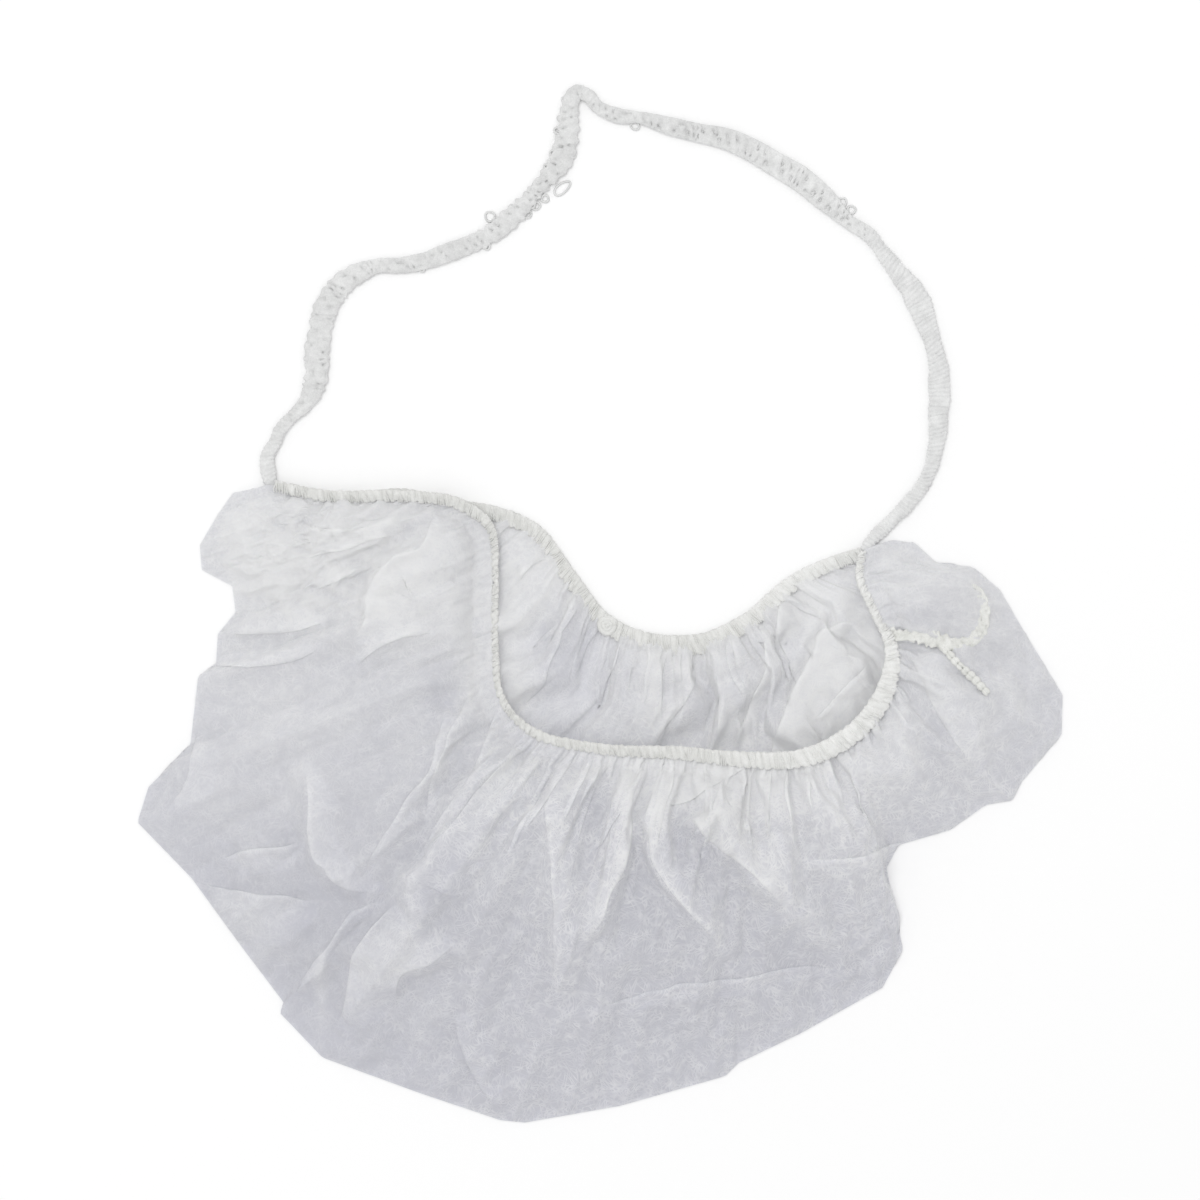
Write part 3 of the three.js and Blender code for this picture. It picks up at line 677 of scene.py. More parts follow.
def gathers(edge, first, last, count, longest, seed):
    """Small pleats that start at a gathered edge and run along the lines of the cloth. `first` and `last`
    are where along the edge they lie, and `longest` is the share of the sheet's depth they reach."""
    random = np.random.default_rng(seed)
    pleats = {}
    for index in range(count):
        at = first + (last - first) * (index + random.uniform(*GATHER_PLACE)) / count
        deepest = longest * random.uniform(*GATHER_SHARE)
        share = np.linspace(GATHER_START, deepest, GATHER_POINTS)[:, None]
        start = edge_points(edge, np.array([at]))[0] - CENTRING
        end = fold_points(at + random.normal(0, GATHER_LEAN)) - CENTRING
        bend = np.sin(np.pi * share / share[-1]) * random.normal(0, GATHER_BEND, 2)
        points = (start + (end - start) * share)[:, :2] / MM + bend
        reach = random.choice((-1, 1)) * random.uniform(*GATHER_REACH)
        white = random.uniform(*GATHER_WHITE)
        height = random.uniform(*GATHER_HEIGHT)
        pleats[f"gather {index}"] = Fold(points, reach, white, height)
    return pleats


FRONT_FOLDS |= gathers(FRONT_EDGE, first=0.41, last=0.86, count=26, longest=0.36, seed=21)
BACK_FOLDS |= gathers(BACK_EDGE, first=0.36, last=0.80, count=14, longest=0.20, seed=22)


# ---- Cloth -----------------------------------------------------------------------------------------

COARSE_COLUMNS = 72
FRONT_ROWS = 14  # of the coarsest grid
BACK_ROWS = 7
LEVELS = 4
PASSES = (120, 90, 60, 40)  # of pulling, on each grid
EXCESS_SHARE = (0.80, 0.90, 0.96, 1.0)  # of the spare cloth that each grid takes up
RIPPLE = (2.4, 0.8, 0.3, 0.1)  # millimetres of unevenness that each grid starts from
RIPPLE_WAVES = (  # its share, how often it comes along the edge and down the sheet, and a seed
    (1.0, 30, 2.5, 0),
    (0.6, 67, 3, 10),
)
HOLD = (0.009, 0.004, 0.002, 0.0)  # how firmly the cloth keeps near the shape it starts from
ROAM = 9.0 * MM  # how far the cloth may shift level, and how far beside the outer fold
FOLD_ROAM = 0.5 * MM
ROAM_FROM = 0.7  # the share of the way down from which it may shift less and less
SPRINGS = (  # columns and rows apart, share of the cloth's length, firmness, and whether it only pushes
    (1, 0, 1.0, 0.9, False),
    (0, 1, 1.0, 0.9, False),
    (1, 1, 1.0, 0.25, False),
    (1, -1, 1.0, 0.25, False),
    (2, 0, 0.88, 0.5, True),
    (4, 0, 0.68, 0.3, True),
    (0, 2, 0.98, 0.5, True),
)
DEPTH_SLACK = 1.02  # how much longer the cloth is down the sheets than they start with
FOLD_GATHER = 1.06  # how much longer the front sheet is than the outer fold
FRONT_GATHER_DEPTH = 0.75  # the share of the way down to which the gathering of the rim reaches
BACK_GATHER = 1.2  # how much longer the back sheet is than the edge it is sewn to
BACK_FOLD_GATHER = 1.03
BACK_GATHER_DEPTH = 0.6
CLOSED_GATHER = 0.3  # of the back's gathering, where the mouth is closed

FOLD_HEIGHT = 0.4 * MM  # of the outer fold, above the floor
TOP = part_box("pouch")[1][2] - 1.0 * MM  # how high the cloth may stand
BILLOW_LEAN = 0.8  # below 1 the pouch is fullest near its mouth
FRONT_FULL = 0.12, 0.86  # the shares of the way down between which the front folds have full height
BACK_FULL = 0.06, 0.5  # and the same for the back
BACK_FLAT = 0.8  # from here down the back sheet has no folds of its own

# The front sheet hangs from the sewn edge. These are distances from that edge.
UNDER_EDGE = 0.3 * MM  # how far below the middle of the edge the sheet starts
EDGE_REACH = 1 * MM  # and how soon it is as low as that
RISE_SPAN = 5 * MM, 14 * MM  # between these it comes free to rise above the edge
SINK_SPAN = 3 * MM, 6 * MM  # and between these to sink below it
EDGE_SINK = 1.2 * MM  # how far it may sink before that
LOW_FROM = 0.93  # the share of the way down from which it may lie as low as the fold

FLOOR_GAP = 0.15 * MM
BACK_LIE = 0.5 * MM
BACK_SLOPE = 0.05  # the share of the way down over which the back comes down from its edge
BACK_LIMIT = 0.95 * MM  # where the front sheet lies on the back one
SHEET_GAP = 0.1 * MM
BACK_PLEATS = 4.0 * MM  # how high the back sheet may stand in the mouth
BACK_RIM = 0.04  # the share of the way down over which it may be as high as its edge
BACK_TO_FOLD = 0.8, 0.93  # the shares between which it comes to the height of the fold
MOUTH_START = 0.27, 0.36  # along the mouth: where it comes to stand open
MOUTH_DEPTH = 0.3, 0.62  # the shares of the way down between which the open part ends
GATHER_OPENS = 0.2, 0.35  # along the mouth: where the back's gathering starts

# How dense the cloth looks.
UPPER_SPAN = -115 * MM, 5 * MM  # it turns denser upwards, from the first y to the second,
UPPER_WHITE = 0.41  # by so much
STEEP_WHITE = 0.55  # where it stands upright
STEEP_PASSES = 2  # of smoothing
CLOUD_WHITE = 0.05
CLOUD_SIZE = 9 * MM
FRONT_BASE = 0.06
BACK_BASE = 0.04
FRONT_RIM_WHITE = 0.15, 0.35  # along the whole front rim, and what its gathered part has on top
FRONT_RIM_DEPTH = 0.05
BACK_RIM_WHITE = 0.3
BACK_RIM_DEPTH = 0.04
GATHERED_SPAN = (0.4, 0.55), (0.84, 0.9)  # along the mouth: where the gathered part comes and goes
CRUMPLE_HEIGHT = 3.0 * MM
CRUMPLE_WHITE = 0.65
CRUMPLE_MEAN = 0.2  # the height, in shares, at which crumpled cloth is as dense as other cloth
WHITE_KNEE = 0.55  # the whiteness above which the cloth hardly turns whiter
MOST_WHITE = 0.95
LOOSE_X = -80 * MM, -20 * MM  # its loose fibres show more from left to right,
LOOSE_Y = -70 * MM, -10 * MM  # and less again upwards
LOOSE_LEAST = 0.4  # how much they show at least

FLAP_STEP = 0.7 * MM
FLAP_LEAST = 8  # the fewest steps along a flap
FLAP_ROWS = np.linspace(0, 1, 12)  # across a flap, closer together near its sharp edge
ROW_CROWDING = 1.5
FLAP_REACH = 14 * MM
FLAP_NARROW = 0.35  # how wide it is at its ends, as a share of its middle
FLAP_ENDS = 0.18, 0.72  # the shares of its length over which it starts and from which it ends
FLAP_WANDER = 0.5 * MM  # how far its sharp edge strays from the line,
WANDER_SIZE = 6 * MM  # over so much of its length
FLAP_LIFT = 0.25 * MM
LIFT_ENDS = 0.6  # how soon it is lifted from its ends on: less is sooner
TURN_UNDER = 0.25 * MM, -0.1 * MM  # where the cloth that turns under its sharp edge lies, across
UNDER_LIFT = -0.1 * MM  # and how far above the sheet it ends
PLUMP_HEIGHT = 0.5 * MM  # of the round fold beside the sharp edge,
PLUMP_PLACE = 0.9 * MM
PLUMP_SIZE = 1.1 * MM
SETTLE = 0.06 * MM  # how far above the sheet all of it lies
SETTLE_ENDS = 0.25 * MM  # how far its ends sink from there
SETTLE_SIDE = -0.12 * MM  # and where its far side lies
LINE_SIZE = 0.8 * MM  # of the dense line along the sharp edge
LINE_WHITE = 0.65  # how much of the fold's whiteness that line has,
FLAP_WHITE = 0.3  # and the flap beside it
SAMPLE_ROW = 4  # the row of the flap whose whiteness the turned part has at least
TURNED_SHARE = 0.3  # the share of the flap that counts as that part


def pull_pairs(points, free, step, rest, firmness, push_only):
    """Moves every two points that are `step` apart in the grid towards their rest distance. Pairs that
    share a point are moved one after the other. With push_only, only those that are too near move."""
    di, dj = step
    columns, rows = free.shape
    for turn in (0, 1):
        if di:
            first = np.arange(columns - di)
            first = first[(first // di) % 2 == turn]
            near = first, slice(max(-dj, 0), rows - max(dj, 0))
            far = first + di, slice(max(dj, 0), rows - max(-dj, 0))
            length = rest[first]
        else:
            first = np.arange(rows - dj)
            first = first[(first // dj) % 2 == turn]
            near = slice(None), first
            far = slice(None), first + dj
            length = rest[:, first]
        a, b = points[near], points[far]
        free_a, free_b = free[near], free[far]
        gap = b - a
        distance = np.sqrt((gap * gap).sum(-1)) + 1e-12
        error = distance - length
        if push_only:
            error = np.minimum(error, 0)
        share = firmness * error / (distance * np.maximum(free_a + free_b, 1e-9))
        points[near] = a + gap * (share * free_a)[..., None]
        points[far] = b - gap * (share * free_b)[..., None]


def rest_lengths(base, step, stretch):
    """The rest distance of every two points that are `step` apart, from where they start."""
    di, dj = step
    columns, rows = base.shape[:2]
    a = base[: columns - di, max(-dj, 0) : rows - max(dj, 0)]
    b = base[di:, max(dj, 0) : rows - max(-dj, 0)]
    return np.linalg.norm(b - a, axis=-1) * stretch[: a.shape[0], : a.shape[1]]


def refine(points):
    """The grid with a point added between every two."""
    for axis in (0, 1):
        points = np.moveaxis(points, axis, 0)
        finer = np.empty((2 * len(points) - 1, *points.shape[1:]))
        finer[::2] = points
        finer[1::2] = (points[1:] + points[:-1]) / 2
        points = np.moveaxis(finer, 0, axis)
    return points


def wrinkle(shape, rows, gather, limits, seed):
    """A sheet that is longer than the edges that hold it, so that it buckles into folds. It is worked
    out on a coarse grid first, for the large folds, and then on finer ones, for those between them."""
    points = None
    for level in range(LEVELS):
        scale = 2**level
        places = np.linspace(0, 1, COARSE_COLUMNS * scale + 1), np.linspace(0, 1, rows * scale + 1)
        at, across = np.meshgrid(*places, indexing="ij")
        base = shape(at, across)
        points = base.copy() if points is None else refine(points)
        for line in (0, -1):
            points[:, line] = base[:, line]
        free = np.ones(at.shape)
        free[:, 0] = free[:, -1] = 0
        ripple = sum(
            share * noise(along * scale * at, down * scale * across, seed + own_seed + level)
            for share, along, down, own_seed in RIPPLE_WAVES
        )
        points[..., 2] += RIPPLE[level] * MM * ripple * free

        stretch = 1 + (gather(at, across) - 1) * EXCESS_SHARE[level]
        deep = np.full(at.shape, DEPTH_SLACK)
        springs = []
        for di, dj, share, firmness, push_only in SPRINGS:
            spare = np.sqrt(stretch * deep) if di and dj else stretch if di else deep
            rest = rest_lengths(base, (di, dj), share * spare)
            springs.append(((di, dj), rest, firmness, push_only))
        low, high = limits(base, at, across)
        roam = (FOLD_ROAM + (ROAM - FOLD_ROAM) * (1 - smooth_step(ROAM_FROM, 1, across)))[..., None]
        for _ in range(PASSES[level]):
            for spring in springs:
                pull_pairs(points, free, *spring)
            points += (base - points) * (free * HOLD[level])[..., None]
            points[..., :2] = base[..., :2] + np.clip(points[..., :2] - base[..., :2], -roam, roam)
            points[..., 2] = np.clip(points[..., 2], low, high)
    return points, at, across


def front_shape(at, across):
    """Where the front sheet lies before it wrinkles."""
    edge = edge_points(FRONT_EDGE, at[:, 0])
    fold = fold_points(at[:, 0])
    points = edge[:, None] + (fold - edge)[:, None] * across[..., None]
    slope = edge[:, None, 2] + (FOLD_HEIGHT - edge[:, None, 2]) * smooth_step(0, 1, across)
    billow = np.interp(at, BILLOW["at"], BILLOW["height"]) * MM * np.sin(np.pi * across**BILLOW_LEAN)
    _, folds = fold_field(points[..., 0], points[..., 1], FRONT_FOLDS)
    fade = smooth_step(0, FRONT_FULL[0], across) * (1 - smooth_step(FRONT_FULL[1], 1, across))
    folds += CRUMPLE_HEIGHT * crumples(points[..., 0], points[..., 1])
    points[..., 2] = np.minimum(slope + billow + folds * fade, TOP)
    return points


def front_gather(at, across):
    rim = np.interp(at, RIM_SPARE["at"], RIM_SPARE["times"])
    return rim + (FOLD_GATHER - rim) * smooth_step(0, FRONT_GATHER_DEPTH, across)


def front_limits(base, at, across):
    """The sheet stays under the sewn edge where it leaves it, and above the floor elsewhere."""
    from_rim = np.linalg.norm(base - base[:, :1], axis=-1)
    under = base[:, :1, 2] - UNDER_EDGE * smooth_step(0, EDGE_REACH, from_rim)
    high = under + (TOP - under) * smooth_step(*RISE_SPAN, from_rim)
    on_back = BACK_LIMIT + SHEET_GAP - FOLD_HEIGHT
    low = FOLD_HEIGHT + on_back * (1 - smooth_step(LOW_FROM, 1, across))
    low = low + (under - EDGE_SINK - low) * (1 - smooth_step(*SINK_SPAN, from_rim))
    return np.minimum(low, high), high


def back_shape(at, across):
    """Where the back sheet lies before it wrinkles, nearly flat on the floor."""
    edge = edge_points(BACK_EDGE, at[:, 0])
    fold = fold_points(at[:, 0])
    points = edge[:, None] + (fold - edge)[:, None] * across[..., None]
    _, folds = fold_field(points[..., 0], points[..., 1], BACK_FOLDS)
    fade = smooth_step(0, BACK_FULL[0], across) * (1 - smooth_step(BACK_FULL[1], BACK_FLAT, across))
    lie = BACK_LIE + (edge[:, None, 2] - BACK_LIE) * (1 - smooth_step(0, BACK_SLOPE, across))
    points[..., 2] = lie + (FOLD_HEIGHT - BACK_LIE) * across**6 + folds * fade
    return points


def back_gather(at, across):
    gathered = CLOSED_GATHER + (1 - CLOSED_GATHER) * smooth_step(*GATHER_OPENS, at)
    rim = 1 + (BACK_GATHER - 1) * gathered
    return rim + (BACK_FOLD_GATHER - rim) * smooth_step(0, BACK_GATHER_DEPTH, across)


def back_limits(base, at, across):
    open_share = smooth_step(*MOUTH_START, at) * (1 - smooth_step(*MOUTH_DEPTH, across))
    high = np.maximum(BACK_LIMIT + BACK_PLEATS * open_share, base[..., 2] * (across < BACK_RIM))
    high += (FOLD_HEIGHT - high) * smooth_step(*BACK_TO_FOLD, across)
    return np.full(at.shape, FLOOR_GAP), high


def cloth_white(points, folds, zones, seed, base):
    """How dense the cloth looks: 0 where one thin layer shows, 1 where many lie together. Its zones may
    also add painted light where the mouth's rim shades the cloth.
    """
    x, y = points[..., 0], points[..., 1]
    white, _ = fold_field(x, y, folds)
    white = base + UPPER_WHITE * smooth_step(*UPPER_SPAN, y) + white + zone_field(x, y, zones)
    along, down = np.gradient(points, axis=0), np.gradient(points, axis=1)
    normal = np.cross(along, down)
    steep = 1 - np.abs(normal[..., 2]) / (np.linalg.norm(normal, axis=-1) + 1e-15)
    for _ in range(STEEP_PASSES):
        padded = np.pad(steep, 1, mode="edge")
        steep = (padded[:-2, 1:-1] + padded[2:, 1:-1] + padded[1:-1, :-2] + padded[1:-1, 2:]) / 4
    white += STEEP_WHITE * steep
    white += CLOUD_WHITE * noise(x / CLOUD_SIZE, y / CLOUD_SIZE, seed)
    return limit_white(white)


def paint(piece, white):
    """Gives a piece of cloth its whiteness, and how much its loose fibres show."""
    place = np.empty(3 * len(white), np.float32)
    piece.data.vertices.foreach_get("co", place)
    x, y = place.reshape(-1, 3).T[:2]
    loose = smooth_step(*LOOSE_X, x) * (1 - smooth_step(*LOOSE_Y, y))
    loose = LOOSE_LEAST + (1 - LOOSE_LEAST) * loose
    for name, values in (("white", limit_white(white)), ("loose", loose)):
        attribute = piece.data.attributes.new(name, "FLOAT", "POINT")
        attribute.data.foreach_set("value", values)


def limit_white(white):
    """Keeps even the densest cloth from turning so white that its texture is lost."""
    spare = MOST_WHITE - WHITE_KNEE
    bent = WHITE_KNEE + spare * np.tanh((white - WHITE_KNEE) / spare)
    return np.where(white > WHITE_KNEE, bent, np.maximum(white, 0))


def surface_under(piece, faces):
    """A function that gives the height and the whiteness of a piece at points, seen from above, from
    those of its faces that are numbered in `faces`."""
    mesh = piece.data
    corners = [tuple(mesh.polygons[face].vertices) for face in faces]
    tree = BVHTree.FromPolygons([vertex.co for vertex in mesh.vertices], corners)
    white = np.empty(len(mesh.vertices))
    mesh.attributes["white"].data.foreach_get("value", white)

    def surface(points):
        height, whiteness = np.full(len(points), -1.0), np.zeros(len(points))
        for index, (x, y) in enumerate(points):
            hit, _, face, _ = tree.ray_cast(Vector((x, y, 1)), Vector((0, 0, -1)))
            if hit:
                height[index] = hit.z
                whiteness[index] = white[list(corners[face])].mean()
        return height, whiteness

    return surface


def flap_line(fold, seed):
    """The line of a fold at even steps, the direction across it, how far its sharp edge wanders from it,
    and how much of the flap there is, which runs out towards both ends."""
    knots = len(fold.points)
    length = np.linalg.norm(np.diff(fold.points, axis=0), axis=1).sum()
    count = max(int(length / FLAP_STEP), FLAP_LEAST)
    line = smooth_curve(fold.points, np.linspace(0, knots - 1, count)) + CENTRING[:2]
    along = np.gradient(line, axis=0)
    along /= np.linalg.norm(along, axis=1)[:, None]
    side = np.stack([-along[:, 1], along[:, 0]], axis=1) * np.sign(fold.reach)
    place = np.linspace(0, 1, count)
    wander = FLAP_WANDER * noise(place * length / WANDER_SIZE, 0 * place, seed)
    ends = smooth_step(0, FLAP_ENDS[0], place) * (1 - smooth_step(FLAP_ENDS[1], 1, place))
    return line, side, wander[:, None], ends[:, None]


def flap_height(sheet, share, from_edge, ends):
    """The height of a flap, from that of the sheet under it: lifted and plump beside its sharp edge, and
    settled into the sheet at its far side and at its ends."""
    lift = FLAP_LIFT * (1 - share**2) * ends**LIFT_ENDS
    lift[:, 0] = UNDER_LIFT
    lift[:, 1] *= 0.5
    plump = PLUMP_HEIGHT * np.exp(-(((from_edge - PLUMP_PLACE) / PLUMP_SIZE) ** 2)) * ends
    plump[:, 0] = 0
    settle = SETTLE - SETTLE_ENDS * (1 - ends) * np.ones(sheet.shape)
    settle[:, -1] = SETTLE_SIDE
    return sheet + lift + plump + settle


def flap(fold, surface, seed):
    """The doubled cloth along the sharp edge of a fold: a strip that lies on the sheet, rounded where it
    turns under, and that runs out into the sheet at its far side and at both ends."""
    line, side, wander, ends = flap_line(fold, seed)
    reach = min(abs(fold.reach), FLAP_REACH) * (FLAP_NARROW + (1 - FLAP_NARROW) * ends)
    across = wander + FLAP_ROWS[None] ** ROW_CROWDING * reach
    across = np.concatenate([*(across[:, :1] + turn for turn in TURN_UNDER), across], axis=1)
    share = np.concatenate([np.zeros(len(TURN_UNDER)), FLAP_ROWS])[None]
    points = line[:, None] + side[:, None] * across[..., None]
    height, white = (values.reshape(across.shape) for values in surface(points.reshape(-1, 2)))
    missing = height < 0
    height = flap_height(height, share, across - wander, ends)
    edge_line = np.exp(-(((across - wander) / LINE_SIZE) ** 2))
    white = np.where(share < TURNED_SHARE, np.maximum(white, white[:, SAMPLE_ROW, None]), white)
    white = white + ends * fold.white * (FLAP_WHITE * (1 - share) + LINE_WHITE * edge_line)
    vertices = np.concatenate([points, np.maximum(height, FLOOR_GAP)[..., None]], axis=-1)
    faces = grid_faces(np.arange(height.size).reshape(height.shape))
    faces = faces[~missing.ravel()[faces].any(axis=1)]
    return vertices.reshape(-1, 3), white.ravel(), faces


def build_flaps(pouch, front_faces):
    """All flaps of both sheets in one piece."""
    back_faces = range(front_faces, len(pouch.data.polygons))
    sheets = (
        (FRONT_FOLDS, surface_under(pouch, range(front_faces)), 300),
        (BACK_FOLDS, surface_under(pouch, back_faces), 400),
    )
    vertices, whites, faces, offset = [], [], [], 0
    for folds, surface, seed in sheets:
        for index, fold in enumerate(fold for fold in folds.values() if not fold.both):
            strip, white, strip_faces = flap(fold, surface, seed + index)
            vertices.append(strip)
            whites.append(white)
            faces.append(strip_faces + offset)
            offset += len(strip)
    piece = mesh_piece("pouch_pleats", np.vstack(vertices), faces)
    paint(piece, np.concatenate(whites))
    piece.data.materials.append(pouch.data.materials[0])
    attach(piece, "root")
    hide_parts("pouch")
    return piece


def front_sheet():
    """The points of the front sheet and their whiteness."""
    points, at, across = wrinkle(front_shape, FRONT_ROWS, front_gather, front_limits, seed=5)
    near_rim = np.exp(-((across / FRONT_RIM_DEPTH) ** 2))
    everywhere, more = FRONT_RIM_WHITE
    comes, goes = GATHERED_SPAN
    gathered = everywhere + more * smooth_step(*comes, at) * (1 - smooth_step(*goes, at))
    white = cloth_white(points, FRONT_FOLDS, FRONT_ZONES, 31, FRONT_BASE) + gathered * near_rim
    white += CRUMPLE_WHITE * (crumples(points[..., 0], points[..., 1]) - CRUMPLE_MEAN)
    return points, white


def back_sheet():
    """The points of the back sheet and their whiteness."""
    points, _, across = wrinkle(back_shape, BACK_ROWS, back_gather, back_limits, seed=47)
    near_rim = np.exp(-((across / BACK_RIM_DEPTH) ** 2))
    white = cloth_white(points, BACK_FOLDS, BACK_ZONES, 32, BACK_BASE) + BACK_RIM_WHITE * near_rim
    return points, white


def closing_faces(upper, lower, flip):
    """The faces between the two sheets at one end of the mouth. The upper one has two steps for each
    step of the lower one."""
    first, middle, last = upper[:-2:2], upper[1::2], upper[2::2]
    return [
        np.stack([first, middle, lower[:-1]], axis=1)[:, ::flip],
        np.stack([middle, lower[1:], lower[:-1]], axis=1)[:, ::flip],
        np.stack([middle, last, lower[1:]], axis=1)[:-1, ::flip],
    ]


def build_pouch():
    front, front_white = front_sheet()
    back, back_white = back_sheet()
    columns, front_rows = front.shape[:2]
    front_numbers = np.arange(columns * front_rows).reshape(columns, front_rows)
    back_numbers = np.arange(back[:, :-1, 0].size).reshape(columns, -1) + front_numbers.size
    back_numbers = np.hstack([back_numbers, front_numbers[:, -1:]])
    vertices = np.vstack([front.reshape(-1, 3), back[:, :-1].reshape(-1, 3)])
    white = np.concatenate([front_white.ravel(), back_white[:, :-1].ravel()])

    ends = closing_faces(front_numbers[0], back_numbers[0], 1)
    ends += closing_faces(front_numbers[-1], back_numbers[-1], -1)
    faces = [grid_faces(front_numbers), grid_faces(back_numbers)[:, ::-1], *ends]
    pouch = mesh_piece("pouch_cloth", vertices, faces)
    crease(pouch, front_numbers[:, -1])
    paint(pouch, white)
    pouch.data.materials.append(cloth_material())
    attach(pouch, "root")
    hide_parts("pouch")
    pleats = build_flaps(pouch, len(faces[0]))
    return pouch


# ---- Threads ---------------------------------------------------------------------------------------


ROUTE_SAMPLES = 1200
KNOT_SAMPLES = 24  # points of a band's curve for each row of its table


class Route:
    """A way along a band: its middle line at even steps, the level direction across it, its width."""

    def __init__(self, points, width):
        lengths = np.linalg.norm(np.diff(points, axis=0), axis=1)
        distance = np.concatenate([[0], np.cumsum(lengths)])
        self.length = distance[-1]
        self.steps = np.linspace(0, self.length, ROUTE_SAMPLES)
        self.centre = np.stack([np.interp(self.steps, distance, column) for column in points.T], axis=1)
        self.width = np.interp(self.steps, distance, width)
        self.along = np.gradient(self.centre, axis=0)
        self.along /= np.linalg.norm(self.along, axis=1)[:, None]
        self.side = np.cross(UP, self.along)
        self.side /= np.linalg.norm(self.side, axis=1)[:, None]

    def at(self, distance, values):
        """The route's own values, such as its direction, at a distance along it."""
        columns = [np.interp(distance, self.steps, column) for column in np.atleast_2d(values.T)]
        return np.stack(columns, axis=-1) if values.ndim > 1 else columns[0]

    def place(self, distance, across, above):
        """Points at a distance along the route, so far to its left and so far above it."""
        distance, across, above = np.broadcast_arrays(distance, across, above)
        side = self.at(distance, self.side)
        return self.at(distance, self.centre) + side * across[..., None] + UP * above[..., None]


def table_route(rows, height):
    """The route of a band from a table of x, y and width."""
    knots = np.stack([rows["x"], rows["y"], np.zeros(len(rows["x"]))], axis=1) * MM
    places = np.linspace(0, len(knots) - 1, KNOT_SAMPLES * len(knots))
    points = smooth_curve(knots, places) + CENTRING
    points[:, 2] = height(points)
    return Route(points, np.interp(places, np.arange(len(knots)), rows["width"]) * MM)


def threads(paths, radius, across, sides=6):
    """Round threads along paths, an array of thread, point and coordinate. `across` is a direction
    that no thread runs in. Returns vertices and arrays of faces, with closed ends."""
    count, length = paths.shape[:2]
    along = np.gradient(paths, axis=1)
    along /= np.linalg.norm(along, axis=2)[..., None] + 1e-12
    first = np.cross(along, np.broadcast_to(across, along.shape))
    first /= np.linalg.norm(first, axis=2)[..., None] + 1e-12
    second = np.cross(along, first)
    angle = np.linspace(0, 2 * np.pi, sides, endpoint=False)
    radius = np.broadcast_to(radius, (count, length))[..., None, None]
    ring = first[..., None, :] * np.cos(angle)[:, None] + second[..., None, :] * np.sin(angle)[:, None]
    vertices = (paths[..., None, :] + radius * ring).reshape(-1, 3)

    numbers = np.arange(count * length * sides).reshape(count, length, sides)
    turned = np.roll(numbers, -1, axis=2)
    corners = numbers[:, :-1], turned[:, :-1], turned[:, 1:], numbers[:, 1:]
    quads = np.stack([corner.ravel() for corner in corners], axis=1)
    start, end = numbers[:, 0], numbers[:, -1]
    caps = [
        np.stack([ring[:, 0], ring[:, corner + turn], ring[:, corner + 1 - turn]], axis=1)
        for ring, turn in ((start, 1), (end, 0))
        for corner in range(1, sides - 1)
    ]
    return vertices, [quads, np.vstack(caps)]


def thread_piece(name, batches, node, material):
    """One piece of many threads, each batch the vertices and faces of some of them."""
    vertices, faces, offset = [], [], 0
    for batch_vertices, batch_faces in batches:
        vertices.append(batch_vertices)
        faces += [array + offset for array in batch_faces]
        offset += len(batch_vertices)
    vertices = np.vstack(vertices)
    vertices[:, 2] = np.maximum(vertices[:, 2], LEAST_HEIGHT)
    piece = mesh_piece(name, vertices, faces)
    piece.data.materials.append(material)
    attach(piece, "root")
    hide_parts(node)
    return piece


def tube_faces(count, corners):
    """The faces of a closed tube whose vertices are `count` rings of so many corners."""
    numbers = np.arange(count * corners).reshape(count, corners)
    turned = np.roll(numbers, -1, axis=1)
    sides = numbers[:-1], numbers[1:], turned[1:], turned[:-1]
    fans = [
        [ring[0], ring[corner], ring[corner + 1]]
        for ring in (numbers[0], numbers[-1][::-1])
        for corner in range(1, corners - 1)
    ]
    return [np.stack([side.ravel() for side in sides], axis=1), np.array(fans)]


BAND_STEP = 0.24 * MM
SECTION_POWER = 0.85  # how oval a band's section is: at 1 an ellipse, below it flatter at the sides
END_POWER = 60  # how bluntly a band ends
END_LEAST = 0.02  # of its section, at its very end


def band(route, thickness, relief, corners, outer=None, taper=0.0):
    """A soft band along a route, with a flat oval section that is thinner on its right by `taper`.
    `relief` gives how far its surface stands out from that at a distance along it and an angle round it.
    `outer` is how far its left side stays from the route, where that isn't half the width."""
    count = int(route.length / BAND_STEP)
    distance = np.linspace(0, route.length, count)[:, None]
    angle = np.linspace(0, 2 * np.pi, corners, endpoint=False)[None]
    half = route.at(distance, route.width) / 2
    middle = outer - half if outer else 0 * half
    ends = np.sqrt(np.clip(1 - (2 * distance / route.length - 1) ** END_POWER, END_LEAST, 1))
    out = relief(distance, angle)
    blunt = np.sign(np.cos(angle)) * np.abs(np.cos(angle)) ** SECTION_POWER
    across = middle + (half + out) * ends * blunt
    above = (thickness / 2 * (1 - taper * (0.5 - 0.5 * np.cos(angle))) + out) * ends * np.sin(angle)
    vertices = route.place(distance, across, above).reshape(-1, 3)
    return vertices, tube_faces(count, corners)


def uneven(count, amount, seed):
    """Random numbers about 0 for things that repeat but aren't quite alike."""
    return np.random.default_rng(seed).normal(0, amount, count)[:, None]


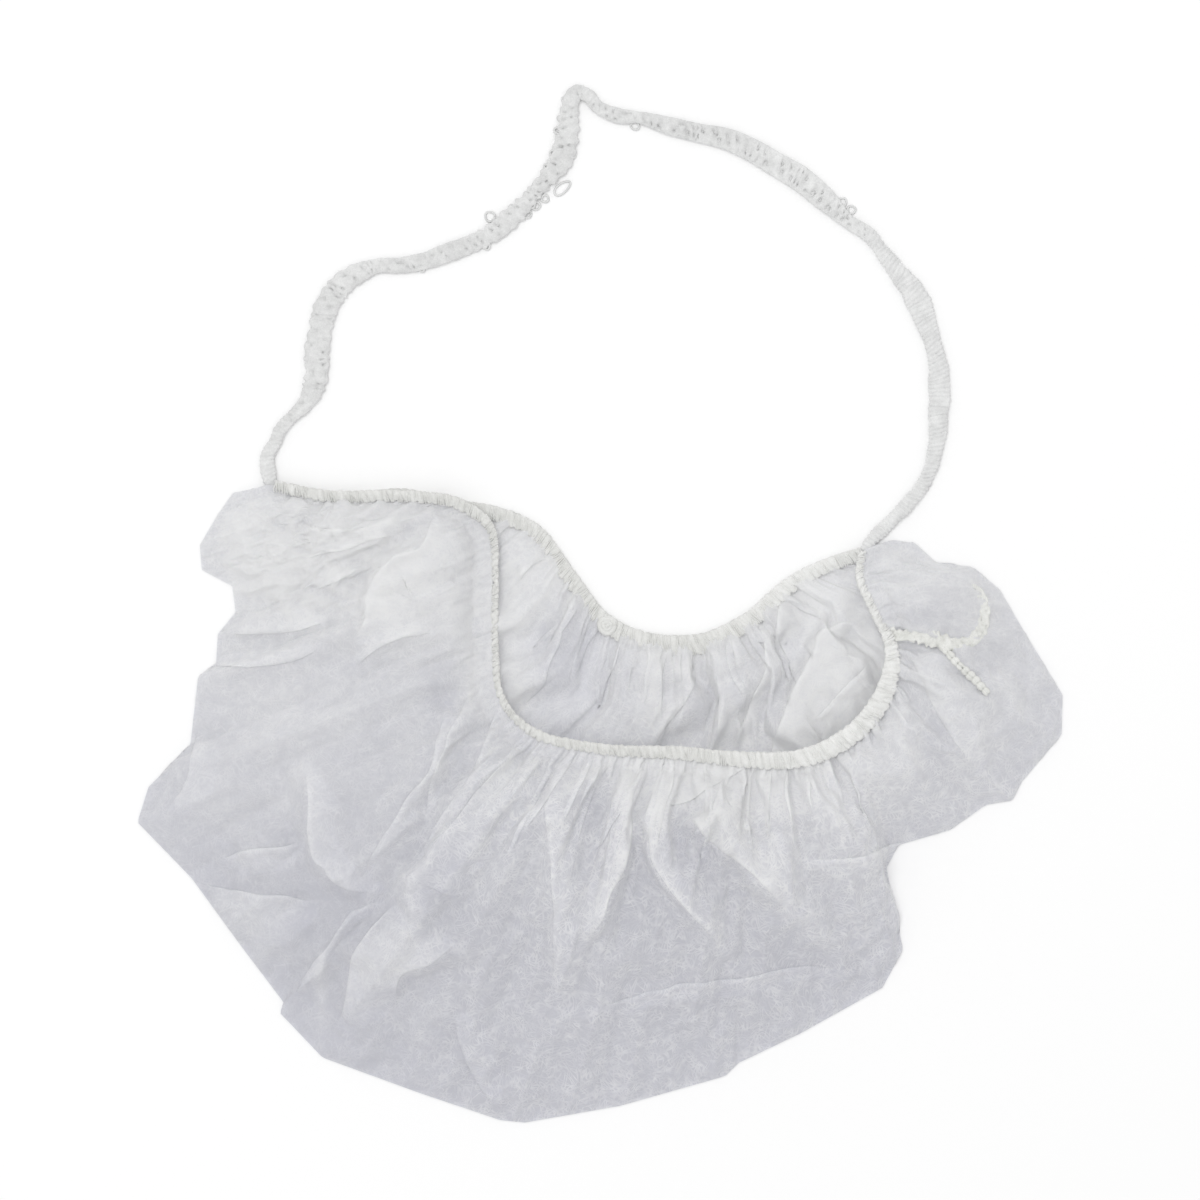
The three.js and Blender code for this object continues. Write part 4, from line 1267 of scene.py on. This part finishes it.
LEAST_HEIGHT = 0.03 * MM  # of any thread above the floor
PITCH_UNEVEN = 0.13  # how uneven stitches and ribs lie, as a share of their pitch
EDGE_OUTER = 1.7 * MM  # from the edge's line to its outer side
EDGE_THICKNESS = 1.8 * MM
EDGE_TAPER = 0.5
EDGE_CORNERS = 18
STITCH_PITCH = 2.0 * MM
STITCH_DEPTH = 0.42 * MM  # of the grooves between stitches
STITCH_LEAN = 0.25 * STITCH_PITCH
STITCH_WAVER = 0.12 * STITCH_PITCH  # how far the grooves stray,
WAVER_SIZE = 1.1 * MM  # over so much of the edge,
WAVER_ROUND = 3  # and how often round it
STITCH_UNEVEN = 0.3  # how unevenly plump the stitches are
GROOVE_SHARP = 0.7  # below 1 the grooves are narrow
GROOVE_SHARE = 0.7  # how deep they are on the outer side; on the cloth's side it is twice this
LUMP_SHARE = 0.3  # how high its soft lumps are, in depths of a groove,
LUMP_SIZE = 1.3 * MM  # how long,
LUMP_ROUND = 2.5  # and how often they come round it
STRANDS = (-0.22, 0.05, 0.3)  # where the threads of a stitch lie, in shares of the pitch
STRAND_TURN = 0.12 * np.pi, 0.95 * np.pi  # how far round the edge they go
STRAND_POINTS = 12
STRAND_UNEVEN = 0.12 * MM
STRAND_SWING = 0.25 * MM
STRAND_SINK = 0.1 * MM  # how far the last of them sinks into the edge
STRAND_THICK = 0.2 * MM
EDGE_SAMPLES = 700
RING_POINTS = 28
RING_UNEVEN = 0.05
KNOT_RINGS = (  # of the round knot: their size, thickness and height, in millimetres
    (2.05, 0.85, 0.0),
    (1.1, 0.75, 0.25),
    (0.3, 0.6, 0.4),
)


def stitch_places(route, pitch, seed):
    """Where the stitches along a route are, in order, and not quite evenly."""
    count = int(route.length / pitch)
    even = (np.arange(count) + 0.5) * route.length / count
    return even + uneven(count, PITCH_UNEVEN * pitch, seed)[:, 0]


def overlock(route, seed):
    """An overlocked edge: a padded band that the stitches draw in, and the fine threads on it. The side
    away from the cloth is on the route's left."""
    starts = stitch_places(route, STITCH_PITCH, seed)
    count = len(starts)
    plump = 1 + uneven(count, STITCH_UNEVEN, seed + 1)[:, 0]

    def relief(distance, angle):
        waver = noise(distance / WAVER_SIZE, WAVER_ROUND * np.cos(angle), seed + 2)
        shifted = distance + STITCH_LEAN * np.cos(angle) + STITCH_WAVER * waver
        phase = np.interp(shifted, starts, np.arange(count))
        ridge = np.abs(np.cos(np.pi * phase)) ** GROOVE_SHARP
        size = np.interp(shifted, starts, plump)
        cloth_side = 0.5 - 0.5 * np.cos(angle)
        lumps = noise(distance / LUMP_SIZE, LUMP_ROUND * angle, seed + 3)
        groove = (GROOVE_SHARE + GROOVE_SHARE * cloth_side) * (ridge * size - 1)
        return STITCH_DEPTH * (groove + LUMP_SHARE * lumps)

    batches = [band(route, EDGE_THICKNESS, relief, EDGE_CORNERS, EDGE_OUTER, EDGE_TAPER)]
    turn = np.linspace(*STRAND_TURN, STRAND_POINTS)[None]
    for strand, offset in enumerate(STRANDS):
        start = starts[:, None] + offset * STITCH_PITCH + uneven(count, STRAND_UNEVEN, seed + 4 + strand)
        half = route.at(start, route.width) / 2
        swing = uneven(count, STRAND_SWING, seed + 8 + strand)
        distance = start - STITCH_LEAN * np.cos(turn) + swing * np.sin(2 * turn)
        across = EDGE_OUTER - half + half * np.cos(turn)
        thick = EDGE_THICKNESS / 2 * (1 - EDGE_TAPER * (0.5 - 0.5 * np.cos(turn)))
        above = thick * np.sin(turn) - STRAND_SINK * abs(offset) / STRANDS[-1]
        paths = route.place(distance, across, above)
        batches.append(threads(paths, STRAND_THICK, route.at(start, route.along), sides=5))
    return batches


def build_mouth_binding(material):
    batches = []
    at = np.linspace(0, 1, EDGE_SAMPLES)
    for edge, side, seed in ((FRONT_EDGE, "front", 60), (BACK_EDGE, "back", 70)):
        width = np.interp(at, EDGE_WIDTHS["at"], EDGE_WIDTHS[side]) * MM
        batches += overlock(Route(edge_points(edge, at), width), seed)
    batches += edge_knot()
    thread_piece("mouth_edge", batches, "mouth_binding", material)


def ring_threads(centre, reach, thick, turns, rise, seed, direction=0.0):
    """A ring of thread that lies level round a centre, round or with a reach of its own each way."""
    angle = np.linspace(0, 2 * np.pi * turns, RING_POINTS)
    wavy = 1 + RING_UNEVEN * np.sin(3 * angle + seed)
    uneven_reach = np.broadcast_to(reach, 2)[:, None] * wavy
    x, y = uneven_reach[0] * np.cos(angle), uneven_reach[1] * np.sin(angle)
    cos, sin = np.cos(direction), np.sin(direction)
    path = np.stack([x * cos - y * sin, x * sin + y * cos, rise * np.sin(2 * angle + seed)], axis=1)
    return threads((np.asarray(centre) + path)[None], thick, UP)


def edge_knot():
    """The round knot where the stitches of the mouth start and stop."""
    centre = np.array(KNOT_PLACE) * MM + CENTRING
    return [
        ring_threads(
            centre + UP * lift * MM, size * MM, thick * MM, turns=1.03, rise=0.12 * MM, seed=lift
        )
        for size, thick, lift in KNOT_RINGS
    ]


STRAP_THICKNESS = 2.2 * MM
KNIT_CORNERS = 26
RIB_PITCH = 1.25 * MM
RIB_DEPTH = 0.45 * MM
RIB_SHARP = 0.8  # below 1 the grooves between ribs are narrow
RIB_LEAN = 0.5  # how far a rib leans across the band, in ribs,
RIB_SWAY = 0.6  # and how much more or less it does along the band
SWAY_SIZE = 4 * MM
SOFT_SHARE = 0.7  # how high the soft waves of the ribbed part are, in ribs,
SOFT_SIZE = 3 * MM  # how long,
SOFT_ROUND = 1.5  # and how often they come round it
KNOT_PITCH = 2.9 * MM  # of the lumps where the loop is knitted as a chain
KNOT_DEPTH = 0.5 * MM
KNOT_UNEVEN = 0.25
KNOT_SWAY = 0.3
KNOT_SIDES = 1.4  # how high the knots stand at the sides,
KNOT_MIDDLE = -0.5  # and in the middle, which is their hollow
KNOT_SHARE = 0.8  # of a chain's height in its knots,
ROW_SHARE = 0.35  # its rows along the band
LUMP_SIZES = (1.2 * MM, 2.2), (0.6 * MM, 4)  # along the band, and how many there are round it
FINE_SHARE = 0.6  # how high the finer lumps are
CHAIN_LUMPS = 0.5
MIDDLE_GROOVE = 0.5  # how deep the groove along the middle is, and how wide
GROOVE_WIDTH = 0.25
HOLE_DEPTH = 1.8  # of the dark holes between knots, on the average,
HOLE_UNEVEN = 3.0  # and how much that differs,
HOLE_APART = 2 * MM  # over so much of the band,
HOLE_ROWS = 3  # and how often across half of it
HOLE_LENGTH = 0.13  # in knots
HOLE_PLACE = 0.45  # how far out from the middle they lie,
HOLE_WIDTH = 0.2  # and how wide they are, in shares of half the band


def knitted(route, seed, look, thickness):
    """A knitted band: fine ribs across it, and rows of knots where its look is lumpy."""
    ribs = stitch_places(route, RIB_PITCH, seed)
    knots = stitch_places(route, KNOT_PITCH, seed + 1)
    plump = 1 + uneven(len(knots), KNOT_UNEVEN, seed + 2)[:, 0]

    def ribbed(distance, angle, sway):
        leaning = distance + (RIB_LEAN + RIB_SWAY * sway) * RIB_PITCH * np.cos(angle)
        rib = np.interp(leaning, ribs, np.arange(len(ribs)))
        soft = noise(distance / SOFT_SIZE, SOFT_ROUND * angle, seed + 6)
        return np.abs(np.cos(np.pi * rib)) ** RIB_SHARP - 1 + SOFT_SHARE * soft

    def chained(distance, angle, sway, scalloped):
        across = np.cos(angle)
        place = np.interp(distance + KNOT_SWAY * KNOT_PITCH * sway, knots, np.arange(len(knots)))
        inner = 1 - (1 - scalloped) * across**4
        knot = inner * np.cos(2 * np.pi * place) * (KNOT_SIDES * across**2 + KNOT_MIDDLE)
        rows = 0.5 * np.cos(3 * np.arccos(across))
        large, fine = (
            noise(distance / size, around * angle, seed + 4 + index)
            for index, (size, around) in enumerate(LUMP_SIZES)
        )
        lumps = large + FINE_SHARE * fine
        chain = KNOT_SHARE * knot * np.interp(distance, knots, plump)
        chain = chain + ROW_SHARE * np.abs(rows) + CHAIN_LUMPS * inner * lumps - 0.5
        chain = chain - MIDDLE_GROOVE * np.exp(-((across / GROOVE_WIDTH) ** 2))
        deep = HOLE_DEPTH + HOLE_UNEVEN * noise(distance / HOLE_APART, HOLE_ROWS * across, seed + 7)
        along = ((place + 0.5 * across + 0.5 * sway) % 1 - 0.5) / HOLE_LENGTH
        beside = (np.abs(across) - HOLE_PLACE) / HOLE_WIDTH
        return chain - np.maximum(deep, 0) * np.exp(-(along**2) - beside**2)

    def relief(distance, angle):
        share = distance / route.length
        lumpy = np.interp(share, look["share"], look["lumpy"])
        scalloped = np.interp(share, look["share"], look["scalloped"])
        sway = noise(distance / SWAY_SIZE, 0 * distance, seed + 3)
        rib = np.maximum(1 - lumpy, 0) * RIB_DEPTH * ribbed(distance, angle, sway)
        return rib + lumpy * KNOT_DEPTH * chained(distance, angle, sway, scalloped)

    return band(route, thickness, relief, KNIT_CORNERS)


# Loops of thread on the sides of the head loop: the side, a seed, the first and last share of the
# loop's length that they stand at, and how many.
EDGE_LOOPS = (
    (1, 95, 0.38, 0.44, 5),
    (-1, 97, 0.25, 0.40, 4),
)
LOOP_SIZE = 1.0 * MM
LOOP_THREAD = 0.36 * MM
LOOP_STRAY = 0.8 * MM  # how far they stand from even places
LOOP_HEIGHT = -0.55 * MM  # of the far side of a loop, from the middle of the band
LOOP_FOOT = 0.7 * MM  # how far inside the band's side they start
LOOP_TURN = -0.15, 1.15  # how far round they go, in half turns
LOOP_POINTS = 11
LOOP_NARROW = 0.8
LOOP_UNEVEN = 0.3, 0.2, 0.15 * MM  # in how far they reach out, in their width and in their height
LOOSE_HEIGHT = 0.45  # millimetres, of the loose loops of the table
LOOSE_THREAD = 0.32 * MM


def edge_loops(route, seed, places, side):
    """Small loops of thread that stand out of one side of a band."""
    start = places[:, None]
    turn = np.linspace(*LOOP_TURN, LOOP_POINTS)[None] * np.pi
    out, wide, high = (uneven(len(places), much, seed + index) for index, much in enumerate(LOOP_UNEVEN))
    reach = LOOP_SIZE * (1 + out)
    distance = start + LOOP_NARROW * reach * np.cos(turn) * (1 + wide)
    half = route.at(start, route.width) / 2
    across = side * (half - LOOP_FOOT + reach * np.sin(turn))
    above = (LOOP_HEIGHT + high) * np.sin(turn) + 0 * distance
    return threads(route.place(distance, across, above), LOOP_THREAD, UP)


LINK_PITCH = 1.9 * MM
LINK_SIZE = 0.75 * MM
LINK_REACH = 0.6  # how far a link runs each way from its middle, in pitches
LINK_POINTS = 8
LINK_RISE = 0.3  # how far its middle stands above its ends, in its own sizes
LINK_BLUNT = 1.1  # above 1 its ends are blunt,
LINK_LEAST = 0.04  # and at this least they end
LINK_UNEVEN = 0.4, 0.3, 0.12  # in how far it slants, in its height and in its thickness
TAIL_LIE = 0.5 * MM  # how far above the cloth the middle of the tail lies


def chain(route, seed, side):
    """One side of a chain stitch: plump beads of thread along a route, a little to its left or right."""
    count = int(route.length / LINK_PITCH)
    slant, height, size = (uneven(count, much, seed + index) for index, much in enumerate(LINK_UNEVEN))
    start = (np.arange(count)[:, None] + 0.5) * route.length / count
    share = np.linspace(-LINK_REACH, LINK_REACH, LINK_POINTS)[None]
    half = route.at(start, route.width) / 4
    across = side * half + 0.5 * half * share * side * (1 + slant)
    above = LINK_RISE * LINK_SIZE * np.cos(np.pi * share) * (1 + height)
    round_ends = np.sqrt(np.clip(1 - (share / (LINK_BLUNT * LINK_REACH)) ** 2, LINK_LEAST, 1))
    paths = route.place(start + share * LINK_PITCH, across, above)
    return threads(paths, LINK_SIZE * round_ends * (1 + size), UP)


NEAR_POINTS = 4  # a band lies on the highest point so many points before and behind,
SMOOTH_POINTS = 12  # and follows the mean of so many


def heights_on(piece, clearance):
    """A function that gives the height just above a piece at points, smoothed along them."""
    tree = BVHTree.FromPolygons(
        [vertex.co for vertex in piece.data.vertices],
        [polygon.vertices for polygon in piece.data.polygons],
    )

    def height(points):
        found = []
        for x, y, _ in points:
            hit = tree.ray_cast(Vector((x, y, 1)), Vector((0, 0, -1)))[0]
            found.append(hit.z if hit else 0.0)
        for reach, combine in ((NEAR_POINTS, np.max), (SMOOTH_POINTS, np.mean)):
            padded = np.pad(found, reach, mode="edge")
            shifted = [padded[shift : shift + len(found)] for shift in range(2 * reach + 1)]
            found = combine(shifted, axis=0)
        return found + clearance

    return height


def build_head_loop(material):
    route = table_route(STRAP_ROUTE, lambda points: np.full(len(points), STRAP_THICKNESS / 2))
    batches = [knitted(route, 90, LOOP_LOOK, STRAP_THICKNESS)]
    for side, seed, first, last, count in EDGE_LOOPS:
        places = np.linspace(first, last, count) * route.length
        places += uneven(count, LOOP_STRAY, seed)[:, 0]
        batches.append(edge_loops(route, seed, places, side))
    for x, y, reach_x, reach_y, degrees in zip(*LOOSE_LOOPS.values()):
        centre = np.array([x, y, LOOSE_HEIGHT]) * MM + CENTRING
        reach = np.array([reach_x, reach_y]) * MM
        direction = np.radians(degrees)
        ring = ring_threads(
            centre, reach, LOOSE_THREAD, turns=1.02, rise=0.05 * MM, seed=x, direction=direction
        )
        batches.append(ring)
    thread_piece("head_loop_knit", batches, "head_loop", material)


def build_loose_ends(pouch, material):
    curl = table_route(CURL_ROUTE, heights_on(pouch, CURL_LIFT))
    share = curl.steps / curl.length
    sunk = sum(much * smooth_step(first, last, share) for first, last, much in CURL_SINKS)
    start, much = CURL_START
    curl.centre[:, 2] -= CURL_THICKNESS * (sunk + much * (1 - smooth_step(0, start, share)))
    knit = knitted(curl, 102, CURL_LOOK, CURL_THICKNESS)
    thread_piece("binding_curl_stitches", [knit], "binding_curl", material)
    tail = table_route(TAIL_ROUTE, heights_on(pouch, TAIL_LIE))
    links = [chain(tail, 110 + side, side) for side in (-1, 1)]
    thread_piece("thread_tail_chain", links, "thread_tail", material)


# ---- Meshes ----------------------------------------------------------------------------------------


def grid_faces(numbers):
    """The four-cornered faces of a grid of vertex numbers."""
    corners = numbers[:-1, :-1], numbers[1:, :-1], numbers[1:, 1:], numbers[:-1, 1:]
    return np.stack([corner.ravel() for corner in corners], axis=1)


def mesh_piece(name, vertices, faces):
    """An object with smooth faces, from arrays of three-cornered and four-cornered faces."""
    mesh = bpy.data.meshes.new(name)
    mesh.vertices.add(len(vertices))
    mesh.vertices.foreach_set("co", np.asarray(vertices, np.float32).ravel())
    loops = np.concatenate([array.ravel() for array in faces]).astype(np.int32)
    counts = np.concatenate([np.full(len(array), array.shape[1]) for array in faces])
    starts = np.concatenate([[0], np.cumsum(counts)[:-1]]).astype(np.int32)
    mesh.loops.add(len(loops))
    mesh.loops.foreach_set("vertex_index", loops)
    mesh.polygons.add(len(counts))
    mesh.polygons.foreach_set("loop_start", starts)
    mesh.polygons.foreach_set("use_smooth", np.ones(len(counts), bool))
    mesh.update(calc_edges=True)
    piece = bpy.data.objects.new(name, mesh)
    bpy.context.collection.objects.link(piece)
    return piece


def crease(piece, line):
    """Makes the edges between the vertices of a line sharp, so that each side keeps its own shading."""
    mesh = piece.data
    on_line = np.zeros(len(mesh.vertices), bool)
    on_line[line] = True
    pairs = np.empty(2 * len(mesh.edges), np.int32)
    mesh.edges.foreach_get("vertices", pairs)
    sharp = on_line[pairs.reshape(-1, 2)].all(axis=1)
    mesh.attributes.new("sharp_edge", "BOOLEAN", "EDGE").data.foreach_set("value", sharp)


# ---- Materials -------------------------------------------------------------------------------------

THIN_COLOUR = (0.782, 0.785, 0.832, 1)  # of one layer of the cloth
DENSE_COLOUR = (0.968, 0.970, 0.970, 1)  # and of many
DENSE_SHADE = 0.8  # the shade from which on the cloth hides all that is behind it
THIN_SOLID = 0.8  # how much of what is behind it a single thin layer hides
THROUGH_SHARE = 0.35  # of the light, that goes through the cloth and not back
CLOUDS = {"scale": 300, "detail": 2, "roughness": 0.65}  # the noise of thin and dense patches,
GRAIN = {"scale": 1400, "detail": 2, "roughness": 0.75}  # and of the finest fibres
CLOUD_SHADE = 0.05
GRAIN_SHADE = 0.06
MOST_NOISE = (0.3, 0.7)  # nearly all of a noise lies between these
FIBRES = (  # the direction of each set of loose fibres, and its length and spacing in millimetres
    (0.35, 27, 2.9),
    (1.15, 20, 2.2),
    (1.95, 24, 2.6),
    (2.75, 18, 2.1),
)
FIBRE_APART = 0.07  # how far on each side of the noise's middle a fibre lies
FIBRE_THIN = 0.036  # how thin they are, in steps of the noise that draws them
FIBRE_WHITE = 0.55
FIBRE_PATCHES = (0.35, 0.65, 0.3, 1.0)  # where the clouds' noise is low there are fewer of them
BEND_SCALE = 160  # of the noise that bends the fibres, and how far it does, in metres
BEND_REACH = 0.0035
PATCHES = {"scale": 300, "detail": 3, "roughness": 0.6}  # the noise of the threads' patches,
STRANDS_FINE = {"scale": 2600, "detail": 3, "roughness": 0.7, "distortion": 0.8}  # and of their strands
LIGHTER_SPAN = 25 * MM, 55 * MM  # where, from left to right, threads turn lighter,
LIGHTER_RIGHT = 0.15  # and by how much
BUMP_DEPTH = 0.0002  # metres

# The light and the dark colour of each kind of thread.
EDGE_COLOURS = (0.905, 0.907, 0.895, 1), (0.72, 0.722, 0.70, 1)
EDGE_GREYER = 0.25
CURL_COLOURS = (0.88, 0.882, 0.86, 1), (0.63, 0.637, 0.595, 1)
KNIT_COLOURS = (0.863, 0.867, 0.863, 1), (0.60, 0.602, 0.60, 1)


class Nodes:
    """A material's node tree, built by short calls."""

    def __init__(self, name):
        self.material = bpy.data.materials.new(name)
        self.material.use_nodes = True
        self.tree = self.material.node_tree
        self.shader = self.tree.nodes["Principled BSDF"]

    def add(self, kind, inputs=None, **settings):
        node = self.tree.nodes.new(kind)
        for name, value in settings.items():
            setattr(node, name, value)
        for name, value in (inputs or {}).items():
            if isinstance(value, bpy.types.NodeSocket):
                self.tree.links.new(value, node.inputs[name])
            else:
                node.inputs[name].default_value = value
        return node

    def math(self, operation, first, second=0.0, clamp=False):
        inputs = {0: first, 1: second}
        return self.add("ShaderNodeMath", inputs, operation=operation, use_clamp=clamp).outputs[0]

    def range(self, value, low, high, to_low=0.0, to_high=1.0):
        inputs = {"Value": value, "From Min": low, "From Max": high, "To Min": to_low, "To Max": to_high}
        return self.add("ShaderNodeMapRange", inputs).outputs["Result"]

    def noise(self, vector, scale, detail=2.0, roughness=0.5, distortion=0.0):
        inputs = {
            "Vector": vector,
            "Scale": scale,
            "Detail": detail,
            "Roughness": roughness,
            "Distortion": distortion,
        }
        return self.add("ShaderNodeTexNoise", inputs).outputs[0]

    def mix_colours(self, share, first, second):
        inputs = {"Factor": share, "A": first, "B": second}
        return self.add("ShaderNodeMix", inputs, data_type="RGBA").outputs["Result"]

    def mix_shaders(self, share, first, second):
        return self.add("ShaderNodeMixShader", {0: share, 1: first, 2: second}).outputs[0]

    def colour(self, output):
        self.tree.links.new(output, self.shader.inputs["Base Color"])

    def bump(self, height, strength):
        inputs = {"Height": height, "Strength": strength, "Distance": BUMP_DEPTH}
        bump = self.add("ShaderNodeBump", inputs).outputs[0]
        self.tree.links.new(bump, self.shader.inputs["Normal"])

    def matt(self, roughness, specular, sheen=0.0):
        self.shader.inputs["Roughness"].default_value = roughness
        self.shader.inputs["Specular IOR Level"].default_value = specular
        self.shader.inputs["Sheen Weight"].default_value = sheen


def thread_material(name, light, dark, greyer=0.0):
    """Matt thread, a little lighter towards the right, and darker by `greyer` over the rest of it."""
    nodes = Nodes(name)
    place = nodes.add("ShaderNodeTexCoord").outputs["Object"]
    across = nodes.add("ShaderNodeSeparateXYZ", {0: place}).outputs["X"]
    patches = nodes.noise(place, **PATCHES)
    strands = nodes.noise(place, **STRANDS_FINE)
    shade = nodes.math("ADD", nodes.range(patches, *MOST_NOISE), nodes.range(strands, *MOST_NOISE))
    shade = nodes.math("MULTIPLY", shade, 0.5)
    lighter = nodes.range(across, *LIGHTER_SPAN, -greyer, LIGHTER_RIGHT)
    shade = nodes.math("ADD", shade, lighter, clamp=True)
    nodes.colour(nodes.mix_colours(shade, dark, light))
    nodes.bump(strands, strength=0.6)
    nodes.matt(roughness=0.8, specular=0.25, sheen=0.2)
    return nodes.material


def fibre_lines(nodes, place, angle, length, width):
    """Thin curved lines that run mostly one way, as the loose fibres of the cloth do."""
    inputs = {"Vector": place, "Rotation": (0, 0, angle), "Scale": (length, width, width)}
    turned = nodes.add("ShaderNodeMapping", inputs, vector_type="TEXTURE").outputs[0]
    waves = nodes.noise(turned, scale=1.0, detail=0.0)
    off = nodes.math("ABSOLUTE", nodes.math("SUBTRACT", waves, 0.5))
    off = nodes.math("ABSOLUTE", nodes.math("SUBTRACT", off, FIBRE_APART))
    return nodes.range(off, FIBRE_THIN, 0.0)


def cloth_material():
    """Thin nonwoven cloth: cloudy, full of fine loose fibres, and letting some light through."""
    nodes = Nodes("nonwoven_cloth")
    place = nodes.add("ShaderNodeTexCoord").outputs["Object"]
    white = nodes.add("ShaderNodeAttribute", attribute_name="white").outputs["Fac"]
    loose = nodes.add("ShaderNodeAttribute", attribute_name="loose").outputs["Fac"]
    clouds = nodes.noise(place, **CLOUDS)
    grain = nodes.noise(place, **GRAIN)
    inputs = {"Vector": place, "Scale": BEND_SCALE, "Detail": 0}
    bends = nodes.add("ShaderNodeTexNoise", inputs).outputs["Color"]
    inputs = {0: bends, 1: (BEND_REACH,) * 3}
    shift = nodes.add("ShaderNodeVectorMath", inputs, operation="MULTIPLY").outputs[0]
    bent = nodes.add("ShaderNodeVectorMath", {0: place, 1: shift}).outputs[0]
    fibres = 0.0
    for angle, length, width in FIBRES:
        lines = fibre_lines(nodes, bent, angle, length * MM, width * MM)
        fibres = nodes.math("MAXIMUM", fibres, lines)
    fibres = nodes.math("MULTIPLY", fibres, nodes.range(clouds, *FIBRE_PATCHES))
    fibres = nodes.math("MULTIPLY", fibres, loose)
    shade = nodes.math("ADD", white, nodes.range(clouds, *MOST_NOISE, -CLOUD_SHADE, CLOUD_SHADE))
    shade = nodes.math("ADD", shade, nodes.range(grain, *MOST_NOISE, -GRAIN_SHADE, GRAIN_SHADE))
    shade = nodes.math("ADD", shade, nodes.math("MULTIPLY", fibres, FIBRE_WHITE), clamp=True)
    colour = nodes.mix_colours(shade, THIN_COLOUR, DENSE_COLOUR)
    nodes.colour(colour)
    nodes.bump(grain, strength=0.3)
    nodes.matt(roughness=0.85, specular=0.2, sheen=0.15)

    through = nodes.add("ShaderNodeBsdfTranslucent", {"Color": colour}).outputs[0]
    clear = nodes.add("ShaderNodeBsdfTransparent").outputs[0]
    lit = nodes.mix_shaders(THROUGH_SHARE, nodes.shader.outputs[0], through)
    surface = nodes.mix_shaders(nodes.range(shade, 0, DENSE_SHADE, THIN_SOLID, 1.0), clear, lit)
    nodes.tree.links.new(surface, nodes.tree.nodes["Material Output"].inputs["Surface"])
    return nodes.material


# ---- Camera, floor and light -----------------------------------------------------------------------

VIEW_WIDTH = 336 * MM  # how much of the floor the camera sees, side to side
VIEW_MIDDLE = (0.0, 0.76 * MM)  # the point of the floor under the camera
LENS = 150.0
SENSOR = 36.0
FLOOR_REACH = 4.0  # metres, from the middle to each side
FLOOR_COLOUR = (0.98, 0.98, 0.98, 1)
WORLD_STRENGTH = 0.78
KEY_PLACE = (-0.35, 0.4, 1.7)
KEY_SIZE = 1.0
KEY_POWER = 9


def add_camera():
    data = bpy.data.cameras.new("camera")
    data.lens = LENS
    data.sensor_width = SENSOR
    camera = bpy.data.objects.new("camera", data)
    camera.location = (*VIEW_MIDDLE, VIEW_WIDTH * LENS / SENSOR)
    bpy.context.collection.objects.link(camera)
    bpy.context.scene.camera = camera


def add_key_light():
    """A large round light to the upper left of the cover, high above it."""
    data = bpy.data.lights.new("key", "AREA")
    data.shape = "DISK"
    data.size = KEY_SIZE
    data.energy = KEY_POWER
    light = bpy.data.objects.new("key", data)
    light.location = KEY_PLACE
    light.rotation_euler = (-Vector(KEY_PLACE)).to_track_quat("-Z", "Y").to_euler()
    bpy.context.collection.objects.link(light)


def add_floor():
    corners = [(x * FLOOR_REACH, y * FLOOR_REACH, 0) for x, y in ((-1, -1), (1, -1), (1, 1), (-1, 1))]
    floor = mesh_piece("floor", corners, [np.array([[0, 1, 2, 3]])])
    nodes = Nodes("pale_floor")
    nodes.shader.inputs["Base Color"].default_value = FLOOR_COLOUR
    nodes.matt(roughness=1.0, specular=0.0)
    floor.data.materials.append(nodes.material)


def add_world():
    world = bpy.data.worlds.new("studio")
    world.use_nodes = True
    background = world.node_tree.nodes["Background"]
    background.inputs["Color"].default_value = (1, 1, 1, 1)
    background.inputs["Strength"].default_value = WORLD_STRENGTH
    bpy.context.scene.world = world
    bpy.context.scene.view_settings.view_transform = "Standard"


# ---- Making it all ---------------------------------------------------------------------------------

add_camera()
add_floor()
add_world()
add_key_light()
pouch = build_pouch()
build_mouth_binding(thread_material("white_thread", *EDGE_COLOURS, EDGE_GREYER))
loose_thread = thread_material("loose_thread", *CURL_COLOURS)
build_head_loop(thread_material("knitted_elastic", *KNIT_COLOURS))
build_loose_ends(pouch, loose_thread)
